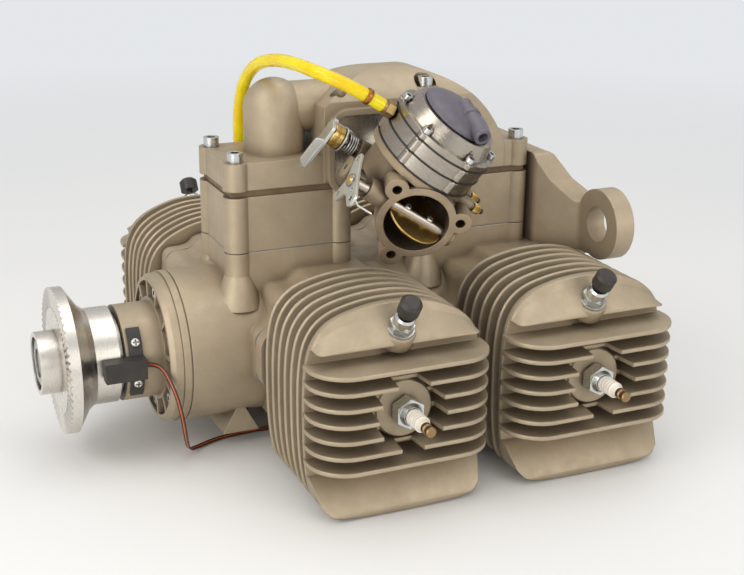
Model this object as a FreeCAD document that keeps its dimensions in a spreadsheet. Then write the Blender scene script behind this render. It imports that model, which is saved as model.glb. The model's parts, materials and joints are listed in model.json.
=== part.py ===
"""Flat four-cylinder two-stroke aircraft engine, a parametric document.

Frame: millimetres, the origin is the centre of the serrated propeller seat.
Y runs along the crankshaft from the propeller to the rear, Z is up,
X runs along the cylinders, with the left bank on +X.
"""
import FreeCAD, Part
import math
import os
import re

import Sketcher
from FreeCAD import Placement, Rotation, Vector

SIZES = {
    # propeller hub
    "hub_radius": 45.5, "hub_rim": 7, "hub_cone_end": 17, "sleeve_radius": 30.2, "sleeve_end": 33.5,
    "serration_root": 33, "serration_depth": 1.3, "serration_width": 3, "serration_over": 0.1,
    "serration_count": 60,
    "boss_radius": 19.5, "boss_length": 12, "boss_bore": 16.5, "boss_depth": 10,
    "hub_neck_radius": 25, "hub_neck_end": 38.5, "magnet_radius": 2.5, "magnet_depth": 3, "magnet_y": 27,
    # crankshaft
    "shaft_radius": 12.5, "web_radius": 31, "web_thick": 8, "pin_radius": 9,
    "stroke": 40, "rod_width": 12, "rod_gap": 0.3, "first_bore": 130, "bank_offset": 37.5,
    "bore_spacing": 125.8, "rod_centres": 72, "rod_eye_radius": 13.6, "rod_small_radius": 8.5,
    "rod_shank": 7, "cage_thick": 2.5, "bearing_radius": 26, "bearing_width": 15, "bearing_inner": 16.2,
    "bearing_outer": 22.2, "ball_radius": 3.9, "ball_count": 9, "seal_width": 6,
    "running_gap": 0.05, "nut_thread": 9, "nut_flats": 13, "nut_height": 9,
    # pistons and cylinders
    "bore": 52, "piston_gap": 0.05, "compression_height": 24, "piston_length": 40, "crown_thick": 5,
    "skirt_wall": 2.6, "wrist_radius": 6, "wrist_bore": 3.5, "wrist_length": 42, "ring_height": 1.5,
    "ring_depth": 2.2, "deck": 53.5, "gasket": 0.5, "spigot_radius": 29, "spigot_length": 9,
    "barrel_wall": 7, "chamber_start": 118, "chamber_height": 10, "flange_thick": 10,
    "stud_pitch": 70, "stud_rise": 62, "stud_boss": 10, "stud_radius": 3, "stud_length": 30,
    "access_radius": 6.5, "deck_corner": 8,
    "deck_side": 57, "side_low": -16, "side_high": 20, "deck_top": 52, "top_half": 26,
    "fin_first": 67, "fin_pitch": 10.4, "fin_thick": 2.2, "fin_half": 55.5, "fin_side_low": -31,
    "fin_side_high": 33, "fin_side_rear": 25, "fin_crown": 60.5, "fin_shoulder": 54, "fin_bottom": -63.5,
    "fin_foot": 33, "fin_corner": 20, "tip_corner": 20.5, "head_floor": 132, "floor_thick": 3,
    "head_plate": 139.5, "tip_room": 14,
    "plate_edge": 37.7, "head_tip": 160, "head_fin_top": 26.9, "head_fin_pitch": 9.6,
    "head_fin_thick": 2.6, "lip_top": -51.5, "lip_thick": 6,
    "plug_boss": 17, "plug_clear": 21, "plug_seat": 146,
    "plug_thread": 5, "plug_flats": 16, "plug_tip": 182, "rib_radius": 4.8, "rib_pitch": 2.4,
    "exhaust_x": 96, "exhaust_wide": 26, "exhaust_high": 14, "exhaust_face": -56,
    "valve_x": 138.7, "valve_z": 45.4, "valve_tilt": 53.8, "valve_flats": 13, "valve_body": 12.5,
    "button_radius": 6.4, "button_height": 9, "button_round": 1.8, "button_gap": 3.6, "stem_radius": 2,
    # crankcase
    "case_radius": 48, "case_front": 68, "case_end": 345, "chamber_radius": 35,
    "chamber_gap": 1.7, "pad_half_x": 29.5, "pad_half_y": 39, "pad_low": 30, "pad_top": 64.5,
    "box_lead": 5.25, "corner_inset": 5.5, "column_radius": 8, "column_flare": 8, "flare_high": 20,
    "arm_gap": 3.2, "screw_radius": 3,
    "window_x": 21, "window_y": 28, "cover_radius": 47, "cover_face": 60, "nose_radius": 30.2,
    "nose_front": 37, "spigot_wall": 14, "spigot_depth": 8, "pocket_in": 32.8, "pocket_out": 42.8,
    "pocket_depth": 5, "rib_count": 12, "rib_thick": 2.6, "nose_bearing": 43, "wall_bearing": 97.5,
    "eye_x": 80, "eye_z": 73, "eye_radius": 22.8, "eye_bore": 11.3, "eye_front": 333, "eye_thick": 13,
    "rear_cap_radius": 38, "rear_cap_thick": 6, "foot_radius": 8, "foot_low": -54, "bolt_flats": 10,
    "gusset_half": 12, "gusset_high": 22, "gusset_wide": 30, "seam_place": 4.5, "seam_wide": 0.7,
    "nipple_x": -40, "nipple_y": 134, "hose_start": 60, "hose_radius": 4,
    # intake
    "housing_top": 99.5, "reed_thick": 4, "reed_inset": 1.2, "reed_depth": 26, "housing_wall": 4,
    "cover_top": 120.5, "riser_radius": 19, "duct_z": 147, "duct_wall": 4,
    "dome_y": 217, "dome_z": 92.6, "dome_radius": 78, "crown_radius": 37, "crown_z": 133.5,
    "duct_radius": 16, "plenum_front": 165, "plenum_rear": 291, "plenum_half": 31, "plenum_low": 104,
    "boss_high": 159,
    "port_y": 216, "port_z": 123, "port_half_y": 50, "port_half_z": 27, "port_rim": 5,
    "port_corner": 14, "port_gap": 0.3, "port_wall": 4, "port_floor": 30.3, "inlet_y": 219, "inlet_z": 118,
    "inlet_radius": 11.5, "neck_radius": 14,
    # carburettor, its own frame has X along the bore outwards, Y along the shafts, Z to the cap
    "carb_x": 100, "carb_y": 195, "carb_z": 93.6, "carb_yaw": -18.6, "carb_pitch": 17.8, "carb_roll": -34,
    "carb_length": 59.5, "carb_bore": 19.3, "carb_barrel": 22, "carb_flange": 23.8, "flange_depth": 11,
    "ear_place": 26, "ear_radius": 7, "ear_hole": 2.9, "stack_x": -34, "stack_y": -8, "stack_base": 24,
    "stack_radius": 33, "pump_thick": 8.5, "stack_gasket": 0.8, "meter_thick": 13, "cap_radius": 23,
    "cap_height": 8, "shaft_rod": 4, "choke_x": -7, "choke_open": 14, "throttle_x": -50,
    "plate_thick": 1.5, "plate_gap": 0.3, "lever_y": -46, "throttle_lever_y": -56, "lever_thick": 1.6,
    "spacer_length": 30, "spacer_taper": 8, "spacer_plate": 3,
    "needle_x": -26, "needle_pitch": 12, "needle_z": 16, "needle_radius": 2,
    "foot_place": 27.5, "foot_turn": 28, "foot_hole": 2.6, "foot_ear": 6, "ear_thick": 5,
}

doc = FreeCAD.newDocument("flat_engine")
sheet = doc.addObject("Spreadsheet::Sheet", "sizes")
for row, (alias, number) in enumerate(SIZES.items(), 1):
    sheet.set(f"A{row}", alias)
    sheet.set(f"B{row}", str(number))
    sheet.setAlias(f"B{row}", alias)
doc.recompute()

TURNS = {
    "z": Rotation(),
    "-z": Rotation(Vector(1, 0, 0), 180),
    "x": Rotation(Vector(0, 1, 0), 90),
    "-x": Rotation(Vector(0, 1, 0), -90),
    "y": Rotation(Vector(1, 0, 0), -90),
    "-y": Rotation(Vector(1, 0, 0), 90),
}
FIRST_RING = 50  # an outline's corners start on a ring, before their sizes move them
PIECES = []
GASKETS = []
count = 0


def formula(text):
    """Give an expression in which every size is read from the sheet."""
    return re.sub(r"[a-z]\w*", lambda word: f"sizes.{word[0]}" if word[0] in SIZES else word[0], str(text))


def fresh(label):
    """Number a construction step, so that each has a name of its own."""
    global count
    count += 1
    return f"{label}_{count}"


def bind(thing, **expressions):
    """Tie properties of an object to expressions."""
    for name, text in expressions.items():
        thing.setExpression(name, formula(text))
    return thing


def place(thing, at=(0, 0, 0), turn=None):
    """Put an object at a point given by expressions, turned by a fixed rotation."""
    thing.Placement = Placement(Vector(), turn or Rotation())
    for letter, text in zip("xyz", at):
        thing.setExpression(f".Placement.Base.{letter}", formula(text))
    return thing


def cylinder(radius, length, at=(0, 0, 0), axis="z"):
    thing = doc.addObject("Part::Cylinder", fresh("cylinder"))
    bind(thing, Radius=radius, Height=length)
    return place(thing, at, TURNS[axis])


def cone(start, end, length, at=(0, 0, 0), axis="z"):
    thing = doc.addObject("Part::Cone", fresh("cone"))
    bind(thing, Radius1=start, Radius2=end, Height=length)
    return place(thing, at, TURNS[axis])


def ball(radius, at):
    thing = doc.addObject("Part::Sphere", fresh("ball"))
    bind(thing, Radius=radius)
    return place(thing, at)


def box(low, size):
    """Make a block from its lowest corner and its three sides."""
    thing = doc.addObject("Part::Box", fresh("box"))
    bind(thing, Length=size[0], Width=size[1], Height=size[2])
    return place(thing, low)


def prism(flats, length, at, axis="z"):
    """Make a hexagon bar, given its width across flats."""
    thing = doc.addObject("Part::Prism", fresh("hexagon"))
    thing.Polygon = 6
    bind(thing, Circumradius=f"({flats}) / 1.7320508", Height=length)
    return place(thing, at, TURNS[axis])


def fuse(*parts):
    thing = doc.addObject("Part::MultiFuse", fresh("fuse"))
    thing.Shapes = list(parts)
    return thing


def cut(base, *tools):
    thing = doc.addObject("Part::Cut", fresh("cut"))
    thing.Base = base
    thing.Tool = tools[0] if len(tools) == 1 else fuse(*tools)
    return thing


def common(base, tool):
    thing = doc.addObject("Part::Common", fresh("common"))
    thing.Base = base
    thing.Tool = tool
    return thing


def tube(outer, inner, length, at, axis="z"):
    return cut(cylinder(outer, length, at, axis), cylinder(inner, length, at, axis))


def group(*parts):
    """Keep separate solids together in one object."""
    thing = doc.addObject("Part::Compound", fresh("group"))
    thing.Links = list(parts)
    return thing


def copy(source, at=(0, 0, 0), turn=None):
    """Place a further copy of a finished form."""
    return place(group(source), at, turn)


def sketch(body, plane, points):
    """Draw a closed outline whose corners are bound to expressions."""
    drawing = body.newObject("Sketcher::SketchObject", fresh("outline"))
    origin = [item for item in body.Origin.OriginFeatures if item.Role == plane][0]
    drawing.AttachmentSupport = [(origin, "")]
    drawing.MapMode = "FlatFace"
    total = len(points)
    angles = [i * math.tau / total for i in range(total)]
    corners = [Vector(FIRST_RING * math.cos(angle), FIRST_RING * math.sin(angle), 0) for angle in angles]
    for i in range(total):
        drawing.addGeometry(Part.LineSegment(corners[i], corners[(i + 1) % total]), False)
    for i in range(total):
        drawing.addConstraint(Sketcher.Constraint("Coincident", i, 2, (i + 1) % total, 1))
    for i, corner in enumerate(points):
        for kind, text, start in zip(("DistanceX", "DistanceY"), corner, corners[i]):
            number = drawing.addConstraint(Sketcher.Constraint(kind, -1, 1, i, 1, start))
            drawing.setExpression(f"Constraints[{number}]", formula(text))
    return drawing


def turned(points):
    """Turn an outline of (radius, y) corners about the Y axis."""
    body = doc.addObject("PartDesign::Body", fresh("turned"))
    drawing = sketch(body, "XY_Plane", points)
    spin = body.newObject("PartDesign::Revolution", fresh("revolution"))
    spin.Profile = drawing
    spin.ReferenceAxis = (drawing, ["V_Axis"])
    spin.Angle = 360
    return body


def slab(plane, points, start, thick, corner=None):
    """Pad an outline away from a plane and round the edges along the pad."""
    body = doc.addObject("PartDesign::Body", fresh("slab"))
    drawing = sketch(body, plane, points)
    drawing.setExpression(".AttachmentOffset.Base.z", formula(start))
    pad = body.newObject("PartDesign::Pad", fresh("pad"))
    pad.Profile = drawing
    bind(pad, Length=thick)
    if corner:
        doc.recompute()
        along = {"YZ_Plane": Vector(1, 0, 0), "XZ_Plane": Vector(0, 1, 0), "XY_Plane": Vector(0, 0, 1)}[plane]
        edges = [f"Edge{i}" for i, edge in enumerate(pad.Shape.Edges, 1)
                 if edge.Length > 0 and abs(edge.tangentAt(edge.FirstParameter).dot(along)) > 0.999]
        rounding = body.newObject("PartDesign::Fillet", fresh("rounding"))
        rounding.Base = (pad, edges)
        bind(rounding, Radius=corner)
        body.Tip = rounding
    return body


def piece(name, thing):
    """Name a finished sub-part, which its file is called by."""
    thing.Label = name
    PIECES.append(thing)
    return thing


def mirrored(across):
    """Give both signs of a distance."""
    return (f"-({across})", f"({across})")


BORES = {
    "front_left": ("first_bore + bank_offset", 0, 1),
    "front_right": ("first_bore", 180, 1),
    "rear_left": ("first_bore + bore_spacing + bank_offset", 0, -1),
    "rear_right": ("first_bore + bore_spacing", 180, -1),
}
BOXES = {
    "front": "first_bore + bank_offset / 2 - box_lead",
    "rear": "first_bore + bore_spacing + bank_offset / 2 - box_lead",
}
COLUMN_X = "(pad_half_x - corner_inset)"
COLUMN_Y = "(pad_half_y - corner_inset)"
HALF_TURN = Rotation(Vector(0, 0, 1), 180)


def at_bore(source, name, throw=0):
    """Place a copy of a form, made on the left bank at y = 0, on one cylinder's axis."""
    height, angle, _ = BORES[name]
    side = "1" if angle == 0 else "-1"
    turn = HALF_TURN if angle else Rotation()
    return copy(source, (f"{side} * ({throw})", height, 0), turn)


def deck_outline():
    """The cylinder's foot: a rounded square with swellings for the transfer ports."""
    out = "(stud_pitch / 2 + stud_boss)"
    return ((f"-{out}", f"-{out}"), (out, f"-{out}"), (out, "side_low"), ("deck_side", "side_low + 6"),
            ("deck_side", "side_high"), (out, "side_high + 6"), (out, out), ("top_half + 2", out),
            ("top_half - 4", "deck_top"), ("-top_half + 4", "deck_top"), ("-top_half - 2", out),
            (f"-{out}", out), (f"-{out}", "side_high + 6"), ("-deck_side", "side_high"),
            ("-deck_side", "side_low + 6"), (f"-{out}", "side_low"))


def stud_places():
    return [(y, z) for y in mirrored("stud_pitch / 2") for z in mirrored("stud_rise / 2")]


def make_hub():
    """Propeller hub: serrated seat disc, cone, sleeve and hollow centring boss."""
    blank = turned((
        ("shaft_radius", "-boss_length + boss_depth"), ("boss_bore", "-boss_length + boss_depth"),
        ("boss_bore", "-boss_length"), ("boss_radius", "-boss_length"), ("boss_radius", 0),
        ("hub_radius", 0), ("hub_radius", "hub_rim"), ("sleeve_radius + 3", "hub_cone_end - 2"),
        ("sleeve_radius", "hub_cone_end + 2"), ("sleeve_radius", "sleeve_end"),
        ("hub_neck_radius", "sleeve_end"), ("hub_neck_radius", "hub_neck_end - 2"),
        ("shaft_radius", "hub_neck_end - 2")))
    keyway = box(("-2", "-boss_length + boss_depth", "shaft_radius - 2"), (4, "hub_neck_end", 4))
    pockets = [cylinder("magnet_radius", "magnet_depth",
                        (f"{side}sleeve_radius", "magnet_y", 0), axis)
               for side, axis in (("", "-x"), ("-", "x"))]
    piece("prop_hub", cut(cut(blank, keyway, *pockets), group(*serrations())))
    magnets = [cylinder("magnet_radius", "magnet_depth", (f"{side}sleeve_radius", "magnet_y", 0), axis)
               for side, axis in (("", "-x"), ("-", "x"))]
    piece("hub_magnets", group(*magnets))
    ring = cut(prism("nut_flats * 2 - 1", "nut_height", (0, "-boss_length + boss_depth", 0), "-y"),
               cylinder("nut_thread", "nut_height", (0, "-boss_length + boss_depth", 0), "-y"))
    piece("hub_nut_and_key", group(ring, box(("-2", "0", "shaft_radius - 2"), (4, "25", 4))))


def serrations():
    """Radial grooves of the propeller seat, a V-shaped cutter turned round the shaft."""
    half = "(serration_width / 2 * (1 + serration_over / serration_depth))"
    corners = (("-serration_over", f"-{half}"), ("serration_depth", "0"), ("-serration_over", half))
    groove = slab("YZ_Plane", corners, "serration_root", "hub_radius + 1 - serration_root")
    number = SIZES["serration_count"]
    return [copy(groove, (0, 0, 0), Rotation(Vector(0, 1, 0), i * 360 / number)) for i in range(number)]


def make_crank():
    """Built-up crank: shafts and webs that turn together, without the pins."""
    throw = "stroke / 2"
    slot = "rod_width / 2 + rod_gap"
    spots = {name: entry[0] for name, entry in BORES.items()}
    front_web = f"({spots['front_right']} - ({slot}) - web_thick)"
    inner_a = f"({spots['front_right']} + {slot})"
    inner_b = f"({spots['front_left']} - ({slot}))"
    mid_start = f"({spots['front_left']} + {slot})"
    mid_end = f"({spots['rear_right']} - ({slot}))"
    inner_c = f"({spots['rear_right']} + {slot})"
    inner_d = f"({spots['rear_left']} - ({slot}))"
    rear_web = f"({spots['rear_left']} + {slot})"
    seat = "-boss_length + boss_depth"
    nose = fuse(cylinder("shaft_radius", f"{front_web} - ({seat})", (0, seat, 0), "y"),
                cylinder("nut_thread", "nut_height - 1", (0, f"{seat} - nut_height + 1", 0), "y"),
                cylinder("bearing_inner", f"{front_web} - wall_bearing - bearing_width",
                         (0, "wall_bearing + bearing_width", 0), "y"),
                cylinder("web_radius", "web_thick", (0, front_web, 0), "y"))
    key_slot = box(("-2", "0", "shaft_radius - 2"), (4, "25", 4))
    piece("crank_front_shaft", cut(nose, key_slot))
    webs = group(cylinder("web_radius", f"{inner_b} - {inner_a}", (0, inner_a, 0), "y"),
                 cylinder("web_radius", f"{inner_d} - {inner_c}", (0, inner_c, 0), "y"))
    piece("crank_centre_webs", webs)
    middle = fuse(cylinder("web_radius", "web_thick", (0, mid_start, 0), "y"),
                  cylinder("shaft_radius", f"{mid_end} - {mid_start}", (0, mid_start, 0), "y"),
                  cylinder("web_radius", "web_thick", (0, f"{mid_end} - web_thick", 0), "y"))
    piece("crank_mid_shaft", middle)
    tail = fuse(cylinder("web_radius", "web_thick", (0, rear_web, 0), "y"),
                cylinder("shaft_radius", "30", (0, rear_web, 0), "y"))
    piece("crank_rear_shaft", tail)


def bearing_places():
    """Front faces of the ball bearings along the shaft."""
    middle = "(first_bore + bank_offset / 2 + bore_spacing / 2 - bearing_width / 2)"
    rear = "(first_bore + bore_spacing + bank_offset + rod_width / 2 + rod_gap + web_thick + 3)"
    return ("nose_bearing", "wall_bearing", middle, rear)


def make_bearings():
    outers, inners = [], []
    for place_y in bearing_places():
        outers.append(tube("bearing_radius", "bearing_outer", "bearing_width", (0, place_y, 0), "y"))
        ring = tube("bearing_inner", "shaft_radius", "bearing_width", (0, place_y, 0), "y")
        inners.append(ring)
        pitch = "(bearing_inner + bearing_outer) / 2"
        for i in range(SIZES["ball_count"]):
            angle = i * 360 / SIZES["ball_count"]
            inners.append(ball("(bearing_outer - bearing_inner) / 2 - running_gap",
                               (f"{pitch} * cos({angle})", f"{place_y} + bearing_width / 2",
                                f"{pitch} * sin({angle})")))
    piece("main_bearing_outer_rings", group(*outers))
    piece("main_bearing_inner_rings", group(*inners))
    seals = [tube("bearing_radius", "shaft_radius + running_gap", "seal_width", (0, start, 0), "y")
             for start in ("nose_bearing - seal_width", "wall_bearing - seal_width",
                           f"{bearing_places()[2]} - seal_width", f"{bearing_places()[2]} + bearing_width")]
    piece("shaft_seals", group(*seals))


def piston_form():
    """Piston at top dead centre, with its rings, wrist pin and circlips."""
    pin_x = "stroke / 2 + rod_centres"
    crown = f"({pin_x} + compression_height)"
    radius = "bore / 2 - piston_gap"
    inner = f"{radius} - skirt_wall - ring_depth"
    body = cylinder(radius, "piston_length", (f"{crown} - piston_length", 0, 0), "x")
    hollow = cylinder(inner, "piston_length - crown_thick", (f"{crown} - piston_length", 0, 0), "x")
    posts = fuse(cylinder("wrist_radius + 3", "wrist_length / 2 - rod_width / 2 - 1",
                          (pin_x, "rod_width / 2 + 1", 0), "y"),
                 cylinder("wrist_radius + 3", "wrist_length / 2 - rod_width / 2 - 1",
                          (pin_x, "-wrist_length / 2", 0), "y"))
    grooves = [tube("bore / 2 + 1", f"{radius} - ring_depth", "ring_height", (f"{crown} - {drop}", 0, 0), "x")
               for drop in (5, 9)]
    clear = cylinder("wrist_radius", "bore + 10", (pin_x, "-bore / 2 - 5", 0), "y")
    skirt = box((f"{crown} - piston_length - 1", "-rod_width", "-bore"),
                ("piston_length - 24", "rod_width * 2", "bore * 2"))
    solid = cut(fuse(cut(body, hollow), common(posts, body)), clear, skirt, *grooves)
    rings = [cut(tube(radius, f"{radius} - ring_depth", "ring_height", (f"{crown} - {drop}", 0, 0), "x"),
                 box((f"{crown} - {drop}", "bore / 2 - 4", -0.2), ("ring_height", 5, 0.4)))
             for drop in (5, 9)]
    pin = tube("wrist_radius", "wrist_bore", "wrist_length - 2", (pin_x, "-wrist_length / 2 + 1", 0), "y")
    clips = [tube("wrist_radius", "wrist_radius - 1.2", 1, (pin_x, spot, 0), "y")
             for spot in ("wrist_length / 2 - 1", "-wrist_length / 2")]
    return group(solid, *rings, pin, *clips)


def rod_form():
    """Connecting rod at top dead centre, with its needle cages and pressed crank pin."""
    big = "stroke / 2"
    small = "stroke / 2 + rod_centres"
    low = "-rod_width / 2"
    shank = box((big, "-rod_shank / 2", "-rod_small_radius + 1"),
                ("rod_centres", "rod_shank", "rod_small_radius * 2 - 2"))
    eyes = fuse(cylinder("rod_eye_radius", "rod_width", (big, low, 0), "y"),
                cylinder("rod_small_radius", "rod_width", (small, low, 0), "y"), shank)
    bores = (cylinder("pin_radius + cage_thick", "rod_width", (big, low, 0), "y"),
             cylinder("wrist_radius", "rod_width", (small, low, 0), "y"))
    rod = cut(eyes, *bores)
    cage = tube("pin_radius + cage_thick", "pin_radius", "rod_width", (big, low, 0), "y")
    pin = cylinder("pin_radius", "rod_width", (big, low, 0), "y")
    return group(rod, cage, pin)


def make_pistons():
    piston, rod = piston_form(), rod_form()
    for name, (_, _, phase) in BORES.items():
        throw = "0" if phase > 0 else "-stroke"
        piece(f"piston_{name}", at_bore(piston, name, throw))
        piece(f"rod_{name}", at_bore(rod, name, throw))


def fin_outline():
    return (("-fin_half", "fin_side_low"), ("-fin_half", "fin_side_high"),
            ("-fin_half + 14", "fin_shoulder"), ("-12", "fin_crown"), ("22", "fin_crown - 2.5"),
            ("fin_half - 9", "fin_shoulder - 10"), ("fin_half", "fin_side_rear"),
            ("fin_half", "fin_side_low"), ("fin_foot", "fin_bottom"), ("-fin_foot", "fin_bottom"))


def cylinder_fins():
    """Upright fins round the barrel, cut from one block of the fin outline."""
    block = slab("YZ_Plane", fin_outline(), "fin_first", "head_plate - fin_first", "fin_corner")
    number = 7
    sheets = [box((f"fin_first + {i} * fin_pitch", -70, -80), ("fin_thick", 140, 160)) for i in range(number)]
    return common(block, fuse(*sheets))


def head_fins():
    """Level fins of the head, its arched top plate and its bottom lip."""
    block = slab("YZ_Plane", fin_outline(), "head_floor - floor_thick",
                 "head_tip - head_floor + floor_thick", "fin_corner")
    tips = slab("XY_Plane", (("fin_first", "-fin_half"), ("head_tip", "-fin_half"),
                             ("head_tip", "fin_half"), ("fin_first", "fin_half")), "-90", "180", "tip_corner")
    floor = box(("head_floor - floor_thick", -70, -90), ("floor_thick", 140, 180))
    roof = box(("head_floor - floor_thick", -70, "plate_edge"),
               ("head_plate - head_floor + floor_thick", 140, 60))
    lip = box(("head_floor", -70, "lip_top - lip_thick"), ("head_tip - head_floor - 3", 140, "lip_thick"))
    levels = [box(("head_floor", -70, f"head_fin_top - {i} * head_fin_pitch"),
                  ("head_tip - head_floor", 140, "head_fin_thick")) for i in range(7)]
    return common(common(block, tips), fuse(floor, roof, lip, *levels))


def valve_point(along):
    """A point on the decompression valve's axis, a distance out from the head."""
    return (f"valve_x + ({along}) * cos(valve_tilt)", "0", f"valve_z + ({along}) * sin(valve_tilt)")


VALVE_TURN = Rotation(Vector(0, 1, 0), 90 - SIZES["valve_tilt"])


def cylinder_form():
    """One cylinder casting with its head, on the left bank."""
    base = "deck + gasket"
    wall = "bore / 2 + barrel_wall"
    foot = slab("YZ_Plane", deck_outline(), base, "flange_thick", "deck_corner")
    barrel = cylinder(wall, f"head_floor - ({base})", (base, 0, 0), "x")
    crown = cylinder(f"{wall} + 4", "head_floor - chamber_start + 4", ("chamber_start - 4", 0, 0), "x")
    spigot = cylinder("spigot_radius", "spigot_length", (f"{base} - spigot_length", 0, 0), "x")
    boss = cone("plug_boss + 3", "plug_boss", "plug_seat - head_floor", ("head_floor", 0, 0), "x")
    valve_boss = place(cone(11, 9, 6), valve_point(-5), VALVE_TURN)
    stub = box(("exhaust_x - exhaust_high / 2 - 7", "-exhaust_wide / 2 - 9", "exhaust_face"),
               ("exhaust_high + 14", "exhaust_wide + 18", "-exhaust_face"))
    tips_cut = cylinder("plug_clear", "head_tip - head_floor + tip_room", ("head_floor + 4", 0, 0), "x")
    fins = cut(head_fins(), tips_cut)
    outer = fuse(foot, barrel, crown, spigot, cylinder_fins(), fins, boss, valve_boss, stub)
    hollow = cylinder("bore / 2", f"chamber_start - ({base}) + spigot_length",
                      (f"{base} - spigot_length", 0, 0), "x")
    dome = cone("bore / 2", "12", "chamber_height", ("chamber_start", 0, 0), "x")
    plug_hole = cylinder("plug_thread", "60", ("chamber_start", 0, 0), "x")
    valve_hole = place(cylinder("4", "36"), valve_point(-34), VALVE_TURN)
    valve_seat = place(cylinder("9.4", "40"), valve_point(1), VALVE_TURN)
    port = box(("exhaust_x - exhaust_high / 2", "-exhaust_wide / 2", "-90"),
               ("exhaust_high", "exhaust_wide", "90"))
    port_clear = box(("exhaust_x - exhaust_high / 2 - 9", "-exhaust_wide / 2 - 11", "-90"),
                     ("exhaust_high + 18", "exhaust_wide + 22", "90 + exhaust_face"))
    bolts = [cylinder("stud_radius", "20", ("exhaust_x", y, "exhaust_face"), "z")
             for y in mirrored("exhaust_wide / 2 + 4.5")]
    access = [cylinder("access_radius", "120", (f"{base} + flange_thick", y, z), "x")
              for y, z in stud_places()]
    studs = [cylinder("stud_radius", "40", (f"{base} - 10", y, z), "x") for y, z in stud_places()]
    return cut(outer, hollow, dome, plug_hole, valve_hole, valve_seat, port, port_clear,
               *bolts, *access, *studs)


def socket_screw(head, shank, radius, drive, head_height):
    """A cap screw standing at the origin, its head up and its shank down."""
    half = f"({head_height}) / 2"
    knob = cut(cylinder(head, head_height), prism(drive, half, (0, 0, half)))
    return fuse(knob, cylinder(radius, shank, (0, 0, f"-({shank})")))


def make_cylinders():
    form = cylinder_form()
    for name in BORES:
        piece(f"cylinder_{name}", at_bore(form, name))
    plate = slab("YZ_Plane", deck_outline(), "deck", "gasket", "deck_corner")
    holes = [cylinder("stud_radius", "20", ("deck - 5", y, z), "x") for y, z in stud_places()]
    gasket = cut(plate, cylinder("spigot_radius", "20", ("deck - 5", 0, 0), "x"), *holes)
    screw = socket_screw("4.9", "flange_thick + gasket + stud_length - 10", "stud_radius", "5", "6")
    screws = [copy(screw, ("deck + gasket + flange_thick", y, z), TURNS["x"]) for y, z in stud_places()]
    screws = group(*screws)
    GASKETS.extend(at_bore(gasket, name) for name in BORES)
    piece("cylinder_screws", group(*[at_bore(screws, name) for name in BORES]))


def make_plugs():
    """Spark plugs: plated shells with their seats, and glazed insulators with terminals."""
    seat = "plug_seat"
    shell = fuse(cylinder("plug_thread", "plug_seat - chamber_start - 8", ("chamber_start + 8", 0, 0), "x"),
                 cylinder("plug_thread + 1.6", 1.5, (seat, 0, 0), "x"),
                 prism("plug_flats", 8, (f"{seat} + 1.5", 0, 0), "x"),
                 cone("plug_flats / 2 - 1", "5.4", 3, (f"{seat} + 9.5", 0, 0), "x"))
    shell = cut(shell, cylinder("2.6", "60", ("chamber_start", 0, 0), "x"))
    glaze = "(plug_seat + 12.5)"
    ribs = [cylinder("rib_radius", "rib_pitch / 2", (f"{glaze} + rib_pitch * {i}", 0, 0), "x")
            for i in range(1, 5)]
    core = fuse(cylinder("2.6", f"{glaze} - chamber_start - 10", ("chamber_start + 10", 0, 0), "x"),
                cone("4.6", "3.6", f"plug_tip - {glaze} - 8", (glaze, 0, 0), "x"),
                cylinder("3.2", "8", ("plug_tip - 8", 0, 0), "x"), *ribs)
    piece("spark_plug_shells", group(*[at_bore(shell, name) for name in BORES]))
    piece("spark_plug_insulators", group(*[at_bore(core, name) for name in BORES]))


def make_valves():
    """Decompression valves, each with a push button that a finger presses in."""
    body = fuse(cylinder("4", "30", (0, 0, -30)), cylinder("valve_flats / 2 + 1.6", 1.5),
                prism("valve_flats", 4, (0, 0, 1.5)), cylinder("6.2", "valve_body - 7", (0, 0, 5.5)),
                cone("6.2", "5.2", 1.5, (0, 0, "valve_body - 1.5")))
    body = cut(body, cylinder("stem_radius + running_gap", "60", (0, 0, -40)))
    button = fuse(cylinder("stem_radius", "valve_body + button_gap + 20", (0, 0, -20)),
                  cylinder("button_radius", "button_height - button_round", (0, 0, "valve_body + button_gap")),
                  cone("button_radius", "button_radius - button_round", "button_round",
                       (0, 0, "valve_body + button_gap + button_height - button_round")))
    here = tuple(valve_point(1))
    body_there = copy(body, here, VALVE_TURN)
    button_there = copy(button, here, VALVE_TURN)
    piece("decompression_valves", group(*[at_bore(body_there, name) for name in BORES]))
    for name in BORES:
        piece(f"decompression_button_{name}", at_bore(button_there, name))


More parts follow.
